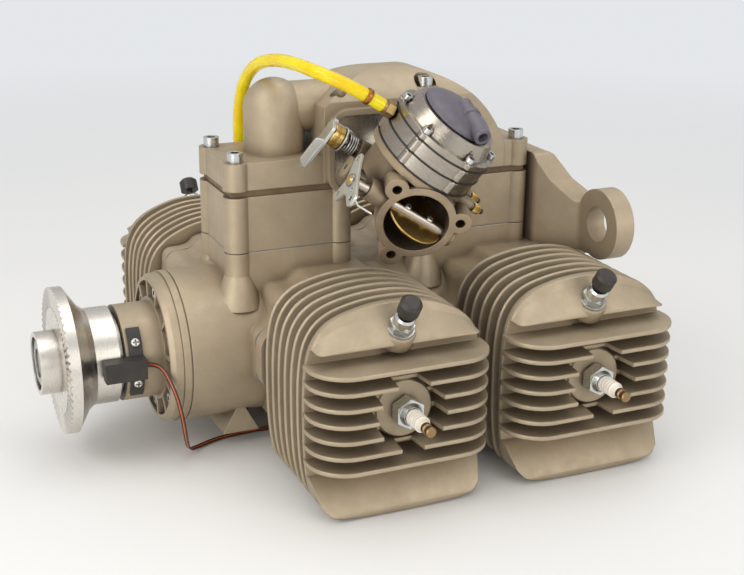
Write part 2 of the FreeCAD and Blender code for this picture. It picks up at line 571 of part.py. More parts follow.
def make_case():
    """Crankcase casting: barrel, four decks, two intake pads and the rear mounting arms."""
    length = "case_end - case_front"
    solids = [cylinder("case_radius", length, (0, "case_front", 0), "y")]
    deck = slab("YZ_Plane", deck_outline(), "0", "deck", "deck_corner")
    solids += [at_bore(deck, name) for name in BORES]
    tools = []
    for middle in BOXES.values():
        solids.append(box(("-pad_half_x", f"{middle} - pad_half_y", 0),
                          ("pad_half_x * 2", "pad_half_y * 2", "pad_top")))
        tools.append(box(("-window_x", f"{middle} - window_y", 0),
                         ("window_x * 2", "window_y * 2", "pad_top + 1")))
        for x in mirrored(COLUMN_X):
            for y in mirrored(COLUMN_Y):
                foot = (x, f"{middle} + {y}", "pad_low")
                solids.append(cylinder("column_radius", "pad_top - pad_low", foot))
                solids.append(cone("column_radius + column_flare", "column_radius", "flare_high", foot))
                tools.append(cylinder("screw_radius", "30", (x, f"{middle} + {y}", "pad_top - 18"), "z"))
    solids += [rear_arms(), foot_gusset()]
    for spot in foot_places():
        solids.append(cylinder("foot_radius", "-foot_low - case_radius + 8", (0, spot, "foot_low"), "z"))
        tools.append(cylinder("screw_radius", "14", (0, spot, "foot_low"), "z"))
    tools.append(cylinder("3", "12", ("nipple_x", "nipple_y", "deck_top - 10"), "z"))
    tools.append(tube("case_radius + 1", "case_radius - seam_wide", "seam_wide",
                      (0, "case_front + seam_place", 0), "y"))
    slot = "rod_width / 2 + rod_gap"
    front_start = f"first_bore - ({slot}) - web_thick - chamber_gap"
    front_end = f"first_bore + bank_offset + {slot} + web_thick + chamber_gap"
    tools.append(cylinder("chamber_radius", f"({front_end}) - ({front_start})", (0, front_start, 0), "y"))
    tools.append(cylinder("chamber_radius", f"({front_end}) - ({front_start})",
                          (0, f"{front_start} + bore_spacing", 0), "y"))
    rear_bearing = bearing_places()[3]
    tools.append(cylinder("shaft_radius + 5", f"{rear_bearing} - case_front", (0, "case_front", 0), "y"))
    tools.append(cylinder("rear_cap_radius + 1", "20", (0, "case_end", 0), "y"))
    for start in bearing_places()[1:]:
        tools.append(cylinder("bearing_radius", "bearing_width", (0, start, 0), "y"))
    tools.append(cylinder("bearing_radius", "bearing_width + seal_width * 2",
                          (0, f"{bearing_places()[2]} - seal_width", 0), "y"))
    tools.append(cylinder("bearing_radius", "wall_bearing + bearing_width - case_front - spigot_depth",
                          (0, "case_front + spigot_depth", 0), "y"))
    tools.append(cylinder("case_radius - spigot_wall", "spigot_depth + 6", (0, "case_front", 0), "y"))
    tools.append(cylinder("bearing_radius", f"case_end - ({rear_bearing})", (0, rear_bearing, 0), "y"))
    bore = cylinder("spigot_radius", "deck", (0, 0, 0), "x")
    tools += [at_bore(bore, name) for name in BORES]
    stud = group(*[cylinder("stud_radius", "stud_length - 10", ("deck - stud_length + 10", y, z), "x")
                   for y, z in stud_places()])
    tools += [at_bore(stud, name) for name in BORES]
    tools += cover_screw_holes()
    piece("crankcase", cut(fuse(*solids), *tools))


def foot_places():
    """Places along the shaft of the bolts that hold the bearings from below."""
    return ("case_front + 40", f"{bearing_places()[2]} + bearing_width / 2", "case_end - 24")


def foot_gusset():
    """V-shaped web that carries the front foot."""
    middle = foot_places()[0]
    corners = ((f"{middle} - gusset_half", "foot_low"), (f"{middle} + gusset_half", "foot_low"),
               (middle, "foot_low + gusset_high"))
    return slab("YZ_Plane", corners, "-gusset_wide", "gusset_wide * 2")


def rear_arms():
    """Rear wall that sweeps out to the two mounting eyes."""
    back = "eye_front + eye_thick"
    start = f"({BOXES['rear']} + pad_half_y + arm_gap)"
    plan = slab("XY_Plane", (
        ("-36", start), ("36", start), ("60", "eye_front"), ("eye_x + 30", "eye_front"),
        ("eye_x + 30", back), ("54", back), ("32", "eye_front - 10"), ("-32", "eye_front - 10"),
        ("-54", back), ("-eye_x - 30", back), ("-eye_x - 30", "eye_front"), ("-60", "eye_front")),
        "0", "130", "6")
    front_view = slab("XZ_Plane", (
        ("-34", "cover_top - 9"), ("34", "cover_top - 9"), ("44", "eye_z + 22"), ("57", "eye_z + 9"),
        ("eye_x", "eye_z + 14"), ("eye_x + 12", "eye_z - 16"), ("eye_x - 10", "eye_z - 22"),
        ("deck - 1", "eye_z - 22"), ("deck - 3", "8"), ("-deck + 3", "8"), ("-deck + 1", "eye_z - 22"),
        ("-eye_x + 10", "eye_z - 22"), ("-eye_x - 12", "eye_z - 16"), ("-eye_x", "eye_z + 14"),
        ("-57", "eye_z + 9"),
        ("-44", "eye_z + 22")), "-400", "400", "5")
    arms = common(plan, front_view)
    eyes = [cylinder("eye_radius", "eye_thick", (x, "eye_front", "eye_z"), "y") for x in mirrored("eye_x")]
    holes = [cylinder("eye_bore", "eye_thick + 2", (x, "eye_front - 1", "eye_z"), "y")
             for x in mirrored("eye_x")]
    return cut(fuse(arms, *eyes), *holes)


def cover_screw_holes():
    """Tapped holes of the front cover and of the rear cap."""
    holes = []
    for i in range(6):
        front, rear = screw_circles(i)
        holes.append(cylinder("2", "8", (front[0], "case_front", front[1]), "y"))
        holes.append(cylinder("2", "10", (rear[0], "case_end - 10", rear[1]), "y"))
    return holes


def screw_circles(i):
    """Places of one screw of the front cover and one of the rear cap, as (x, z)."""
    front, rear = "(pocket_in + pocket_out) / 2", "(rear_cap_radius - 5)"
    turn = 23 + i * 60
    return ((f"{front} * cos({turn})", f"{front} * sin({turn})"),
            (f"{rear} * cos({30 + i * 60})", f"{rear} * sin({30 + i * 60})"))


def make_covers():
    """Ribbed front cover with the nose tube, and the rear bearing cap."""
    blank = turned((
        ("bearing_radius", "nose_front"), ("nose_radius", "nose_front"), ("nose_radius", "cover_face"),
        ("cover_radius - 2", "cover_face"), ("cover_radius", "cover_face + 3"), ("cover_radius", "case_front"),
        ("case_radius - spigot_wall", "case_front"),
        ("case_radius - spigot_wall", "case_front + spigot_depth"),
        ("case_radius - spigot_wall - 6", "case_front + spigot_depth"),
        ("case_radius - spigot_wall - 6", "case_front"), ("bearing_radius - 3", "case_front"),
        ("bearing_radius - 3", "nose_bearing + bearing_width"),
        ("bearing_radius", "nose_bearing + bearing_width")))
    ring = tube("pocket_out", "pocket_in", "pocket_depth", (0, "cover_face", 0), "y")
    ribs = [place(box((0, 0, 0), (12, "pocket_depth", "rib_thick")),
                  (f"31 * cos({a})", "cover_face", f"31 * sin({a})"), Rotation(Vector(0, 1, 0), -a))
            for a in [i * 360 / SIZES["rib_count"] + 8 for i in range(SIZES["rib_count"])]]
    holes, screws = [], []
    screw = socket_screw("3.4", "9", "2", "3", "3.6")
    cap_screw = socket_screw("3.4", "14", "2", "3", "3.6")
    cap_holes = []
    for i in range(6):
        spot, rear = screw_circles(i)
        holes.append(cylinder("2", "20", (spot[0], "cover_face - 4", spot[1]), "y"))
        screws.append(copy(screw, (spot[0], "cover_face + pocket_depth", spot[1]), TURNS["-y"]))
        cap_holes.append(cylinder("2", "20", (rear[0], "case_end - 5", rear[1]), "y"))
        screws.append(copy(cap_screw, (rear[0], "case_end + rear_cap_thick", rear[1]), TURNS["y"]))
    piece("front_cover", cut(fuse(cut(blank, ring), common(fuse(*ribs), ring)), *holes, *sensor_holes()))
    ring_end = f"({bearing_places()[3]} + bearing_width)"
    cap = fuse(cylinder("rear_cap_radius", "rear_cap_thick", (0, "case_end", 0), "y"),
               tube("bearing_radius", "bearing_outer", f"case_end - {ring_end}", (0, ring_end, 0), "y"))
    piece("rear_cap", cut(cap, *cap_holes))
    bolt = fuse(prism("bolt_flats", 6, (0, 0, 0)), cylinder("screw_radius", "14", (0, 0, -14)))
    screws += [copy(bolt, (0, spot, "foot_low"), TURNS["-z"]) for spot in foot_places()]
    piece("case_screws", group(*screws))


def sensor_holes():
    """Holes for the strip's two screws, in the nose tube and in the strip."""
    depth = "(nose_radius - 3)"
    return [place(cylinder("1.2", "8"), (f"{depth} * cos({a})", "nose_front + 6", f"{depth} * sin({a})"),
                  Rotation(Vector(0, 1, 0), 90 - a)) for a in (29, -17)]


def make_sensor():
    """Hall sensor on its strip: the block reaches over the groove to the hub's magnets."""
    start = "nose_front + 2"
    arc = tube("nose_radius + 2", "nose_radius", "8", (0, start, 0), "y")
    wedge = slab("XZ_Plane", (("0", "0"), ("60", "-46"), ("60", "64")), "-80", "80")
    strip_band = common(arc, wedge)
    block = box(("nose_radius + 1.2", "magnet_y - 5", "-4"), (9, "nose_front + 10 - magnet_y + 5", 12.5))
    block = cut(block, cylinder("nose_radius + 2", "60", (0, "0", 0), "y"))
    piece("sensor_strip", cut(strip_band, *sensor_holes()))
    piece("sensor_block", block)
    screws = []
    for a in (29, -17):
        screw = fuse(cylinder("1.2", "5"), cylinder("2.6", "1.8", (0, 0, 5)))
        spot = (f"(nose_radius - 3) * cos({a})", f"{start} + 4", f"(nose_radius - 3) * sin({a})")
        screws.append(copy(screw, spot, Rotation(Vector(0, 1, 0), 90 - a)))
    piece("sensor_screws", group(*screws))


def make_intake():
    """Two housings with reed blocks under one manifold that joins them to the carburettor."""
    housing, reed = [], []
    plate = "housing_top + reed_thick"
    covers, cover_tools = [], []
    screws = []
    for name, middle in BOXES.items():
        low = "pad_top + gasket"
        high = f"housing_top - ({low})"
        walls = [box(("-pad_half_x", f"{middle} - pad_half_y", low),
                     ("pad_half_x * 2", "pad_half_y * 2", high))]
        holes = [box(("-window_x", f"{middle} - window_y", low), ("window_x * 2", "window_y * 2", high))]
        cover = [box(("-pad_half_x", f"{middle} - pad_half_y", plate),
                     ("pad_half_x * 2", "pad_half_y * 2", f"cover_top - ({plate})"))]
        flange = box(("-pad_half_x + reed_inset", f"{middle} - pad_half_y + reed_inset", "housing_top"),
                     ("(pad_half_x - reed_inset) * 2", "(pad_half_y - reed_inset) * 2", "reed_thick"))
        flange_holes = []
        for x in mirrored(COLUMN_X):
            for y in mirrored(COLUMN_Y):
                spot = f"{middle} + {y}"
                walls.append(cylinder("column_radius", high, (x, spot, low), "z"))
                holes.append(cylinder("screw_radius", high, (x, spot, low), "z"))
                flange_holes.append(cylinder("screw_radius", "10", (x, spot, "housing_top - 2"), "z"))
                tall = name == "rear" and y.startswith("-")
                top = "boss_high" if tall else "cover_top"
                cover.append(cylinder("column_radius", f"{top} - ({plate})", (x, spot, plate), "z"))
                cover_tools.append(cylinder("screw_radius", "80", (x, spot, f"{plate} - 5"), "z"))
                screw = socket_screw("4.9", f"{top} - pad_top + 16", "screw_radius", "5", "6")
                screws.append(copy(screw, (x, spot, top)))
        piece(f"intake_housing_{name}", cut(fuse(*walls), *holes))
        wedge_top = ("window_x - 2", "window_y - 2")
        cage = slab("XZ_Plane", ((f"-({wedge_top[0]})", "housing_top"), ("0 - 2", "housing_top - reed_depth"),
                                 ("2", "housing_top - reed_depth"), (wedge_top[0], "housing_top")),
                    f"-({middle}) - window_y + 2", "window_y * 2 - 4")
        inner, floor = f"({wedge_top[0]} - 3)", "housing_top - reed_depth + 4"
        hollow = slab("XZ_Plane", ((f"-{inner}", "housing_top + 6"), (f"-{inner}", "housing_top"),
                                   ("0 - 1", floor), ("1", floor),
                                   (inner, "housing_top"), (inner, "housing_top + 6")),
                      f"-({middle}) - window_y + 5", "window_y * 2 - 10")
        reed.append(cut(fuse(flange, cage), hollow, *flange_holes))
        covers += cover
    piece("reed_blocks", group(*reed))
    piece("manifold_screws", group(*screws))
    make_manifold(covers, cover_tools)
    for middle in BOXES.values():
        sheet_blank = box(("-pad_half_x", f"{middle} - pad_half_y", "pad_top"),
                          ("pad_half_x * 2", "pad_half_y * 2", "gasket"))
        cuts = [box(("-window_x", f"{middle} - window_y", "pad_top"),
                    ("window_x * 2", "window_y * 2", "gasket"))]
        cuts += [cylinder("screw_radius", "gasket", (x, f"{middle} + {y}", "pad_top"), "z")
                 for x in mirrored(COLUMN_X) for y in mirrored(COLUMN_Y)]
        GASKETS.append(cut(sheet_blank, *cuts))
    piece("gaskets", group(*GASKETS))


def make_manifold(covers, tools):
    """Manifold casting: riser over the front box, duct and domed chamber over the rear box."""
    front, rear = BOXES["front"], BOXES["rear"]
    riser = [cylinder("riser_radius", "duct_z - cover_top + 1", (0, front, "cover_top - 1"), "z"),
             ball("riser_radius", (0, front, "duct_z")),
             cylinder("duct_radius", f"plenum_front + 20 - ({front})", (0, front, "duct_z"), "y")]
    drum = cylinder("dome_radius", "plenum_half * 2", ("-plenum_half", "dome_y", "dome_z"), "x")
    shape = fuse(cylinder("crown_radius", "plenum_rear - plenum_front", (0, "plenum_front", "crown_z"), "y"),
                 box(("-plenum_half", "plenum_front", "plenum_low"),
                     ("plenum_half * 2", "plenum_rear - plenum_front", "crown_z - plenum_low")))
    limits = box(("-plenum_half", "plenum_front", "plenum_low"),
                 ("plenum_half * 2", "plenum_rear - plenum_front", "80"))
    gap = box(("-60", f"{front} + pad_half_y + 1", "plenum_low - 20"),
              (120, f"{rear} - ({front}) - pad_half_y * 2 - 2", 20))
    dome = cut(common(common(shape, limits), drum), gap)
    rim = slab("YZ_Plane", port_outline("0"), "plenum_half - 6", "port_rim + 6", "port_corner")
    over_boxes = box((10, "port_y - port_half_y - 5", "port_z - port_half_z - 5"),
                     (f"{COLUMN_X} + column_radius + 0.3 - 10", "port_half_y * 2 + 10",
                      "plenum_low + 5.2 - port_z + port_half_z"))
    recess = slab("YZ_Plane", port_outline("port_wall"), "port_floor", "30", "port_corner - 5")
    inside = [cylinder("riser_radius - duct_wall", "duct_z - housing_top - reed_thick + 6",
                       (0, front, "housing_top + reed_thick"), "z"),
              cylinder("duct_radius - duct_wall", f"port_y - ({front}) + 4",
                       (0, f"{front} - 4", "duct_z"), "y"),
              box(("-window_x", f"{rear} - window_y", "housing_top + reed_thick"),
                  ("window_x * 2", "window_y * 2", "13")),
              box(("-window_x + 4", "port_y - 26", "plenum_low + 6"), ("window_x * 2 - 8", "70", "32")),
              cylinder("inlet_radius", "60", (0, "inlet_y", "inlet_z"), "x")]
    access = [cylinder("5.2", "60", (x, f"{front} + {COLUMN_Y}", "cover_top")) for x in mirrored(COLUMN_X)]
    access += [cylinder("7", "30", (x, f"{rear} - {COLUMN_Y}", "boss_high")) for x in mirrored(COLUMN_X)]
    outside = fuse(*covers, *riser, dome, cut(rim, over_boxes))
    casting = cut(cut(outside, *access, *tools), recess, *inside)
    casting.Refine = False
    piece("intake_manifold", casting)


def port_outline(inset):
    """Corners of the carburettor port in the side of the manifold, drawn in by a distance."""
    y, z = f"(port_half_y - ({inset}))", f"(port_half_z - ({inset}))"
    signs = ((-1, -1), (1, -1), (1, 1), (-1, 1))
    return tuple((f"port_y + {a} * {y}", f"port_z + {b} * {z}") for a, b in signs)


def carb_spot(thing):
    """Put a form made in the carburettor's own frame in its place."""
    thing.setExpression("Placement", formula(
        "placement(vector(carb_x; carb_y; carb_z); rotation(carb_yaw; carb_pitch; carb_roll))"))
    return thing


def carb_ears():
    """Places of the three ears of the mouth flange, as (y, z) in the carburettor's frame."""
    return [(f"ear_place * cos({a})", f"ear_place * sin({a})") for a in (-88, 32, 152)]


def foot_spots():
    """Places of the two screws that hold the body to its spacer, as (y, z) in the carburettor's frame."""
    return [(f"{side}foot_place * cos(foot_turn)", f"{side}foot_place * sin(foot_turn)") for side in ("-", "")]


def needle_places():
    return ("needle_x", "needle_x - needle_pitch")


def make_carb_body():
    """Body casting with its mouth flange, shaft bosses and pump table, and its spacer."""
    ears = [cylinder("ear_radius", "flange_depth", ("-flange_depth", y, z), "x") for y, z in carb_ears()]
    flange = fuse(cylinder("carb_flange", "flange_depth", ("-flange_depth", 0, 0), "x"), *ears)
    foot = fuse(*[cylinder("foot_ear", "ear_thick", ("-carb_length", y, z), "x") for y, z in foot_spots()])
    barrel = cylinder("carb_barrel", "carb_length", ("-carb_length", 0, 0), "x")
    tower = cylinder("stack_radius - 5", "stack_base", ("stack_x", "stack_y", 0), "z")
    table = cylinder("stack_radius", "5", ("stack_x", "stack_y", "stack_base - 5"), "z")
    choke_boss = cylinder("7", "62", ("choke_x - 2", "-35", 0), "y")
    throttle_boss = cylinder("6.5", "66", ("throttle_x", "-38", 0), "y")
    needle_boss = fuse(*[cylinder("4", "24", (x, "8", "needle_z"), "y") for x in needle_places()])
    solid = fuse(flange, foot, barrel, tower, table, choke_boss, throttle_boss, needle_boss)
    bore = cylinder("carb_bore", "carb_length", ("-carb_length", 0, 0), "x")
    rods = [cylinder("shaft_rod + running_gap", "80", (x, "-40", 0), "y") for x in ("choke_x", "throttle_x")]
    holes = [cylinder("ear_hole", "flange_depth + 2", ("-flange_depth - 1", y, z), "x")
             for y, z in carb_ears()]
    fixings = [cylinder("foot_hole", "ear_thick + 2", ("-carb_length - 1", y, z), "x")
               for y, z in foot_spots()]
    wells = [cylinder("needle_radius + running_gap", "24", (x, "9", "needle_z"), "y") for x in needle_places()]
    relief = box(("stack_x - stack_radius", "-40", "-carb_barrel"),
                 ("stack_radius - stack_x - carb_length", "80", "carb_barrel * 2 + 0.3"))
    taps = [cylinder("1.6", "10", (*spot, "stack_base - 6"), "z") for spot in stack_screw_places()]
    piece("carb_body", carb_spot(cut(solid, bore, relief, *rods, *holes, *fixings, *wells, *taps)))
    make_spacer()


def make_spacer():
    """Spacer between the port in the manifold and the tilted carburettor."""
    inset = "port_wall + port_gap"
    plate = slab("YZ_Plane", port_outline(inset), "port_floor", "spacer_plate", "port_corner - 5 - port_gap")
    far = "-carb_length - spacer_length"
    taper = "-carb_length - spacer_taper"
    neck = carb_spot(group(fuse(cylinder("neck_radius", "spacer_length - spacer_taper", (far, 0, 0), "x"),
                                cone("neck_radius", "carb_barrel", "spacer_taper", (taper, 0, 0), "x"))))
    back = "-carb_length - ear_thick"
    ears = carb_spot(group(*[cylinder("foot_ear", "ear_thick", (back, y, z), "x") for y, z in foot_spots()]))
    bar = box((0, 0, 0), ("ear_thick", "foot_place * 2", "foot_ear * 2 - 2"))
    corner = ("-foot_place * cos(foot_turn) + (foot_ear - 1) * sin(foot_turn)",
              "-foot_place * sin(foot_turn) - (foot_ear - 1) * cos(foot_turn)")
    place(bar, (back, *corner), Rotation(Vector(1, 0, 0), SIZES["foot_turn"]))
    bridge = carb_spot(group(bar))
    passage = carb_spot(group(fuse(cylinder("inlet_radius", "spacer_length - spacer_taper", (far, 0, 0), "x"),
                                   cone("inlet_radius", "carb_bore", "spacer_taper", (taper, 0, 0), "x"))))
    fixings = carb_spot(group(*[cylinder("foot_hole", "ear_thick + 2", (f"{back} - 1", y, z), "x")
                                for y, z in foot_spots()]))
    behind = box(("port_floor - 60", "port_y - 90", "port_z - 90"), (60, 180, 180))
    under = box(("port_floor - 60", "port_y - 90", 0),
                ("plenum_half + port_rim + port_gap + 60 - port_floor", 180,
                 "port_z - port_half_z + port_wall + port_gap"))
    piece("carb_spacer", cut(fuse(plate, neck, ears, bridge), passage, fixings, behind, under))


def stack_screw_places():
    """Places of the screws through the stack, as (x, y) in the carburettor's frame."""
    ring = "(stack_radius - 2.6)"
    turns = [i * 60 + 20 for i in range(6)]
    return [(f"stack_x + {ring} * cos({a})", f"stack_y + {ring} * sin({a})") for a in turns]


def make_stack():
    """Fuel pump and metering plates, their gaskets, the domed cover and its plastic cap."""
    at_stack = ("stack_x", "stack_y")
    first = "stack_base + stack_gasket"
    second = f"{first} + pump_thick + stack_gasket"
    third = f"{second} + pump_thick + stack_gasket"
    top = f"{third} + meter_thick"
    gaskets = [cylinder("stack_radius + 0.6", "stack_gasket", (*at_stack, f"({start}) - stack_gasket"), "z")
               for start in (first, second, third)]
    plates = [cylinder("stack_radius", "pump_thick", (*at_stack, start), "z") for start in (first, second)]
    dome = fuse(cylinder("stack_radius", "4", (*at_stack, third)),
                cone("stack_radius - 4", "cap_radius + 3", "meter_thick - 4", (*at_stack, f"{third} + 4")))
    screw = socket_screw("3", f"{third} + 4 - stack_base + 5", "1.6", "2.6", "3")
    spots = stack_screw_places()
    holes = [cylinder("1.6", "60", (*spot, "stack_base - 6"), "z") for spot in spots]
    screws = [copy(screw, (*spot, f"{third} + 4")) for spot in spots]
    foot_screw = socket_screw("4.2", "ear_thick * 2", "foot_hole", "4", "4.5")
    screws += [copy(foot_screw, ("-carb_length + ear_thick", y, z), TURNS["x"]) for y, z in foot_spots()]
    slots = [cylinder("3.4", "20", (*spot, f"{third} + 4"), "z") for spot in spots]
    level = f"{second} + pump_thick / 2"
    barb_hole = cylinder("3", "12", ("stack_x", "stack_y - stack_radius - 1", level), "y")
    piece("carb_gaskets", carb_spot(cut(group(*gaskets), *holes)))
    piece("carb_pump_plates", carb_spot(cut(group(*plates), barb_hole, *holes)))
    piece("carb_cover", carb_spot(cut(dome, *holes, *slots)))
    piece("carb_screws", carb_spot(group(*screws)))
    cap = fuse(cone("cap_radius", "cap_radius - 6", "cap_height", (*at_stack, top), "z"),
               cylinder("4.5", "26", ("stack_x + 4", "stack_y + 8", f"{top} + 4.5"), "y"))
    nozzle = cylinder("2", "20", ("stack_x + 4", "stack_y + 16", f"{top} + 4.5"), "y")
    piece("carb_cap", carb_spot(cut(cap, nozzle)))
    barb = fuse(cylinder("3", "11", ("stack_x", "stack_y - stack_radius", level), "y"),
                prism("9", 5, ("stack_x", "stack_y - stack_radius - 6", level), "y"),
                cylinder("hose_radius", "2", ("stack_x", "stack_y - stack_radius - 8", level), "y"))
    nipple = fuse(cylinder("3", "10", ("nipple_x", "nipple_y", "deck_top - 10"), "z"),
                  prism("9", 6, ("nipple_x", "nipple_y", "deck_top"), "z"),
                  cylinder("hose_radius", "hose_start - deck_top - 6", ("nipple_x", "nipple_y", "deck_top + 6")))
    piece("hose_fittings", group(carb_spot(barb), nipple))


def make_controls():
    """Choke and throttle butterflies with their levers, the return spring and the needles."""
    spread = "carb_bore - plate_gap"
    tilt = Rotation(Vector(0, 1, 0), SIZES["choke_open"])
    choke_rod = cylinder("shaft_rod", "carb_bore + 8 - lever_y - lever_thick",
                         ("choke_x", "lever_y + lever_thick", 0), "y")
    disc = group(cylinder(spread, "plate_thick", (0, 0, "-plate_thick / 2")))
    choke_plate = place(disc, ("choke_x", 0, 0), tilt)
    arms = slab("XZ_Plane", (
        ("choke_x - 16", "6"), ("choke_x - 12", "12"), ("choke_x + 3", "6"), ("choke_x + 20", "1"),
        ("choke_x + 19", "-7"), ("choke_x + 4", "-6"), ("choke_x", "-17"), ("choke_x - 7", "-17"),
        ("choke_x - 6", "-3")), "-lever_y - lever_thick", "lever_thick", "2.2")
    eyes = [cylinder("1.6", "8", (f"choke_x + {x}", "lever_y - 3", z), "y")
            for x, z in ((-11, 7.5), (14, -3), (-3.4, -12.5))]
    piece("choke_valve", carb_spot(cut(fuse(choke_rod, choke_plate, arms), *eyes)))
    rod = cylinder("shaft_rod", "carb_bore + 8 - throttle_lever_y", ("throttle_x", "throttle_lever_y", 0), "y")
    plate = cylinder(spread, "plate_thick", ("throttle_x - plate_thick / 2", 0, 0), "x")
    collar = cylinder("7", "9", ("throttle_x", "throttle_lever_y - 2", 0), "y")
    arm = slab("XZ_Plane", (("throttle_x - 5", "4"), ("throttle_x + 5", "4"), ("throttle_x + 6", "-28"),
                            ("throttle_x - 2", "-28")), "-throttle_lever_y + 2", "2.5", "2.5")
    piece("throttle_valve", carb_spot(fuse(rod, plate, collar, arm)))
    coil = doc.addObject("Part::Helix", fresh("helix"))
    bind(coil, Radius="shaft_rod + 1.4", Pitch="1.7", Height="6.8")
    wire = doc.addObject("Part::RegularPolygon", fresh("wire"))
    wire.Polygon = 6
    bind(wire, Circumradius="0.7")
    wire.Placement = Placement(Vector(), TURNS["y"])
    wire.setExpression(".Placement.Base.x", formula("shaft_rod + 1.4"))
    spring = doc.addObject("Part::Sweep", fresh("sweep"))
    spring.Sections = [wire]
    spring.Spine = (coil, [])
    spring.Solid = True
    spring.Frenet = True
    seat = copy(spring, ("throttle_x", "throttle_lever_y + 8.6", 0), TURNS["y"])
    piece("throttle_spring", carb_spot(group(seat)))
    for name, x in zip(("high", "low"), needle_places()):
        needle = fuse(cylinder("needle_radius", "24", (x, "10", "needle_z"), "y"),
                      cylinder("3.2", "6", (x, "34", "needle_z"), "y"))
        slit = box((f"{x} - 4", "38.6", "needle_z - 0.4"), (8, 3, 0.8))
        piece(f"mixture_needle_{name}", carb_spot(cut(needle, slit)))


def round_route(points, radius):
    """Sweep a round section along straight runs joined by the largest tangent arcs that fit."""
    corners = [Vector(*point) for point in points]
    edges, start = [], corners[0]
    for before, corner, after in zip(corners, corners[1:], corners[2:]):
        inward, outward = (corner - before), (after - corner)
        half = inward.getAngle(outward) / 2
        reach = 0.45 * min(inward.Length, outward.Length)
        first = corner - inward.normalize() * reach
        last = corner + outward.normalize() * reach
        bend = reach / math.tan(half)
        towards = (outward - inward).normalize()
        middle = corner + towards * (bend / math.cos(half) - bend)
        edges += [Part.LineSegment(start, first).toShape(), Part.Arc(first, middle, last).toShape()]
        start = last
        print("radius", round(bend, 1))
    edges.append(Part.LineSegment(start, corners[-1]).toShape())
    path = Part.Wire(edges)
    profile = Part.Wire(Part.makeCircle(radius, corners[0], corners[1] - corners[0]))
    print("length", round(path.Length, 1))
    return path.makePipeShell([profile], True, True)


def cord(name, points, radius):
    """Give a cord a plain solid along its route."""
    thing = doc.addObject("Part::Feature", name)
    thing.Shape = round_route(points, radius)
    return piece(name, thing)


HOSE_ROUTE = [
    (-40, 134, 60), (-40, 134, 88), (-40, 133.7, 117), (-39, 133.7, 141), (-29, 134.5, 161),
    (-8, 136, 174), (16, 139, 179.5), (42, 142, 181), (66, 147, 179)]
LEAD_ROUTE = [
    (34, 47, 3), (34, 51, 3), (40.5, 56.2, 2), (50, 59, -6), (53, 62, -17), (52.5, 64.5, -31),
    (48, 67, -45), (38, 71, -56.5), (25, 80, -61.8), (17, 97, -61.8), (15, 119, -61.8), (15, 142, -61.8)]


def make_cords():
    """Fuel hose over the manifold, and the sensor's lead with its plug."""
    cord("fuel_hose", HOSE_ROUTE + [fitting_mouth(22), fitting_mouth(0)], SIZES["hose_radius"])
    cord("sensor_lead", LEAD_ROUTE, 1.6)
    end = LEAD_ROUTE[-1]
    shell = box((end[0] - 4, end[1], "fin_bottom"), (8, 14, 4.5))
    plug = fuse(shell, box((end[0] - 3, end[1] + 14, "fin_bottom + 0.5"), (6, 5, 3.5)))
    piece("sensor_plug", plug)


def fitting_mouth(out):
    """World place of a point in line with the carburettor's fuel fitting, a distance out from its end."""
    height = SIZES["stack_base"] + 2 * SIZES["stack_gasket"] + 1.5 * SIZES["pump_thick"]
    local = Vector(SIZES["stack_x"], SIZES["stack_y"] - SIZES["stack_radius"] - 8 - out, height)
    seat = Placement(Vector(SIZES["carb_x"], SIZES["carb_y"], SIZES["carb_z"]),
                     Rotation(SIZES["carb_yaw"], SIZES["carb_pitch"], SIZES["carb_roll"]))
    return tuple(seat.multVec(local))


make_hub()
make_crank()
make_bearings()
make_pistons()
make_cylinders()
make_plugs()
make_valves()
make_case()
make_covers()
make_sensor()
make_intake()
make_carb_body()
make_stack()
make_controls()
make_cords()
doc.recompute()

broken = [item.Label for item in doc.Objects if "Invalid" in item.State or "Error" in item.State]
if broken:
    raise RuntimeError(f"These failed to build: {broken}")
for item in PIECES:
    if item.Shape.isNull() or not item.Shape.isValid() or not item.Shape.Solids:
        raise RuntimeError(f"{item.Label} has no valid shape")

os.makedirs("parts", exist_ok=True)
for item in PIECES:
    item.Shape.exportStep(f"parts/{item.Label}.step")
    print(item.Label, len(item.Shape.Solids), round(item.Shape.Volume / 1000, 2))
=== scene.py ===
import json
import math

import bmesh
import bpy
from mathutils import Matrix, Vector
from mathutils.geometry import tessellate_polygon


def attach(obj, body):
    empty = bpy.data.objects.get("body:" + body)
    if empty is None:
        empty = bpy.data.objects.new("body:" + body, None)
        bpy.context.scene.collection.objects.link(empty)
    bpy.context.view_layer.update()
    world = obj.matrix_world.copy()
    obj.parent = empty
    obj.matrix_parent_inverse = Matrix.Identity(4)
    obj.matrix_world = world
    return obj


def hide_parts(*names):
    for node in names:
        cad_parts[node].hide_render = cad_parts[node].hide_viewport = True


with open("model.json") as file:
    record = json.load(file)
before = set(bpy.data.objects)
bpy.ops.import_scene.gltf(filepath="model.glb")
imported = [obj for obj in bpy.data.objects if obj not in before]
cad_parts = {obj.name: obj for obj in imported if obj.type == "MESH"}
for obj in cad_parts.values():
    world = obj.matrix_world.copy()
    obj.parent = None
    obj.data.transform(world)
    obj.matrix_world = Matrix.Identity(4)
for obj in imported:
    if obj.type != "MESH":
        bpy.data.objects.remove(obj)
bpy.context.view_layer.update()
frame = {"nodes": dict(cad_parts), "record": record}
NODES = frame["nodes"]
MM = 0.001
SHARP_ANGLE = 32

# The camera fitted to the photograph, whose width and the focal length are in pixels. Its turns are azimuth,
# elevation and roll in degrees, and its target and distance are in millimetres.
PHOTO_WIDTH = 744
FOCAL_PIXELS = 1310.8
SENSOR_WIDTH = 36
CAMERA_TURNS = (66.13, 18.78, 0.60)
CAMERA_TARGET = (-0.45, 211.7, 20.41)
CAMERA_DISTANCE = 879.76

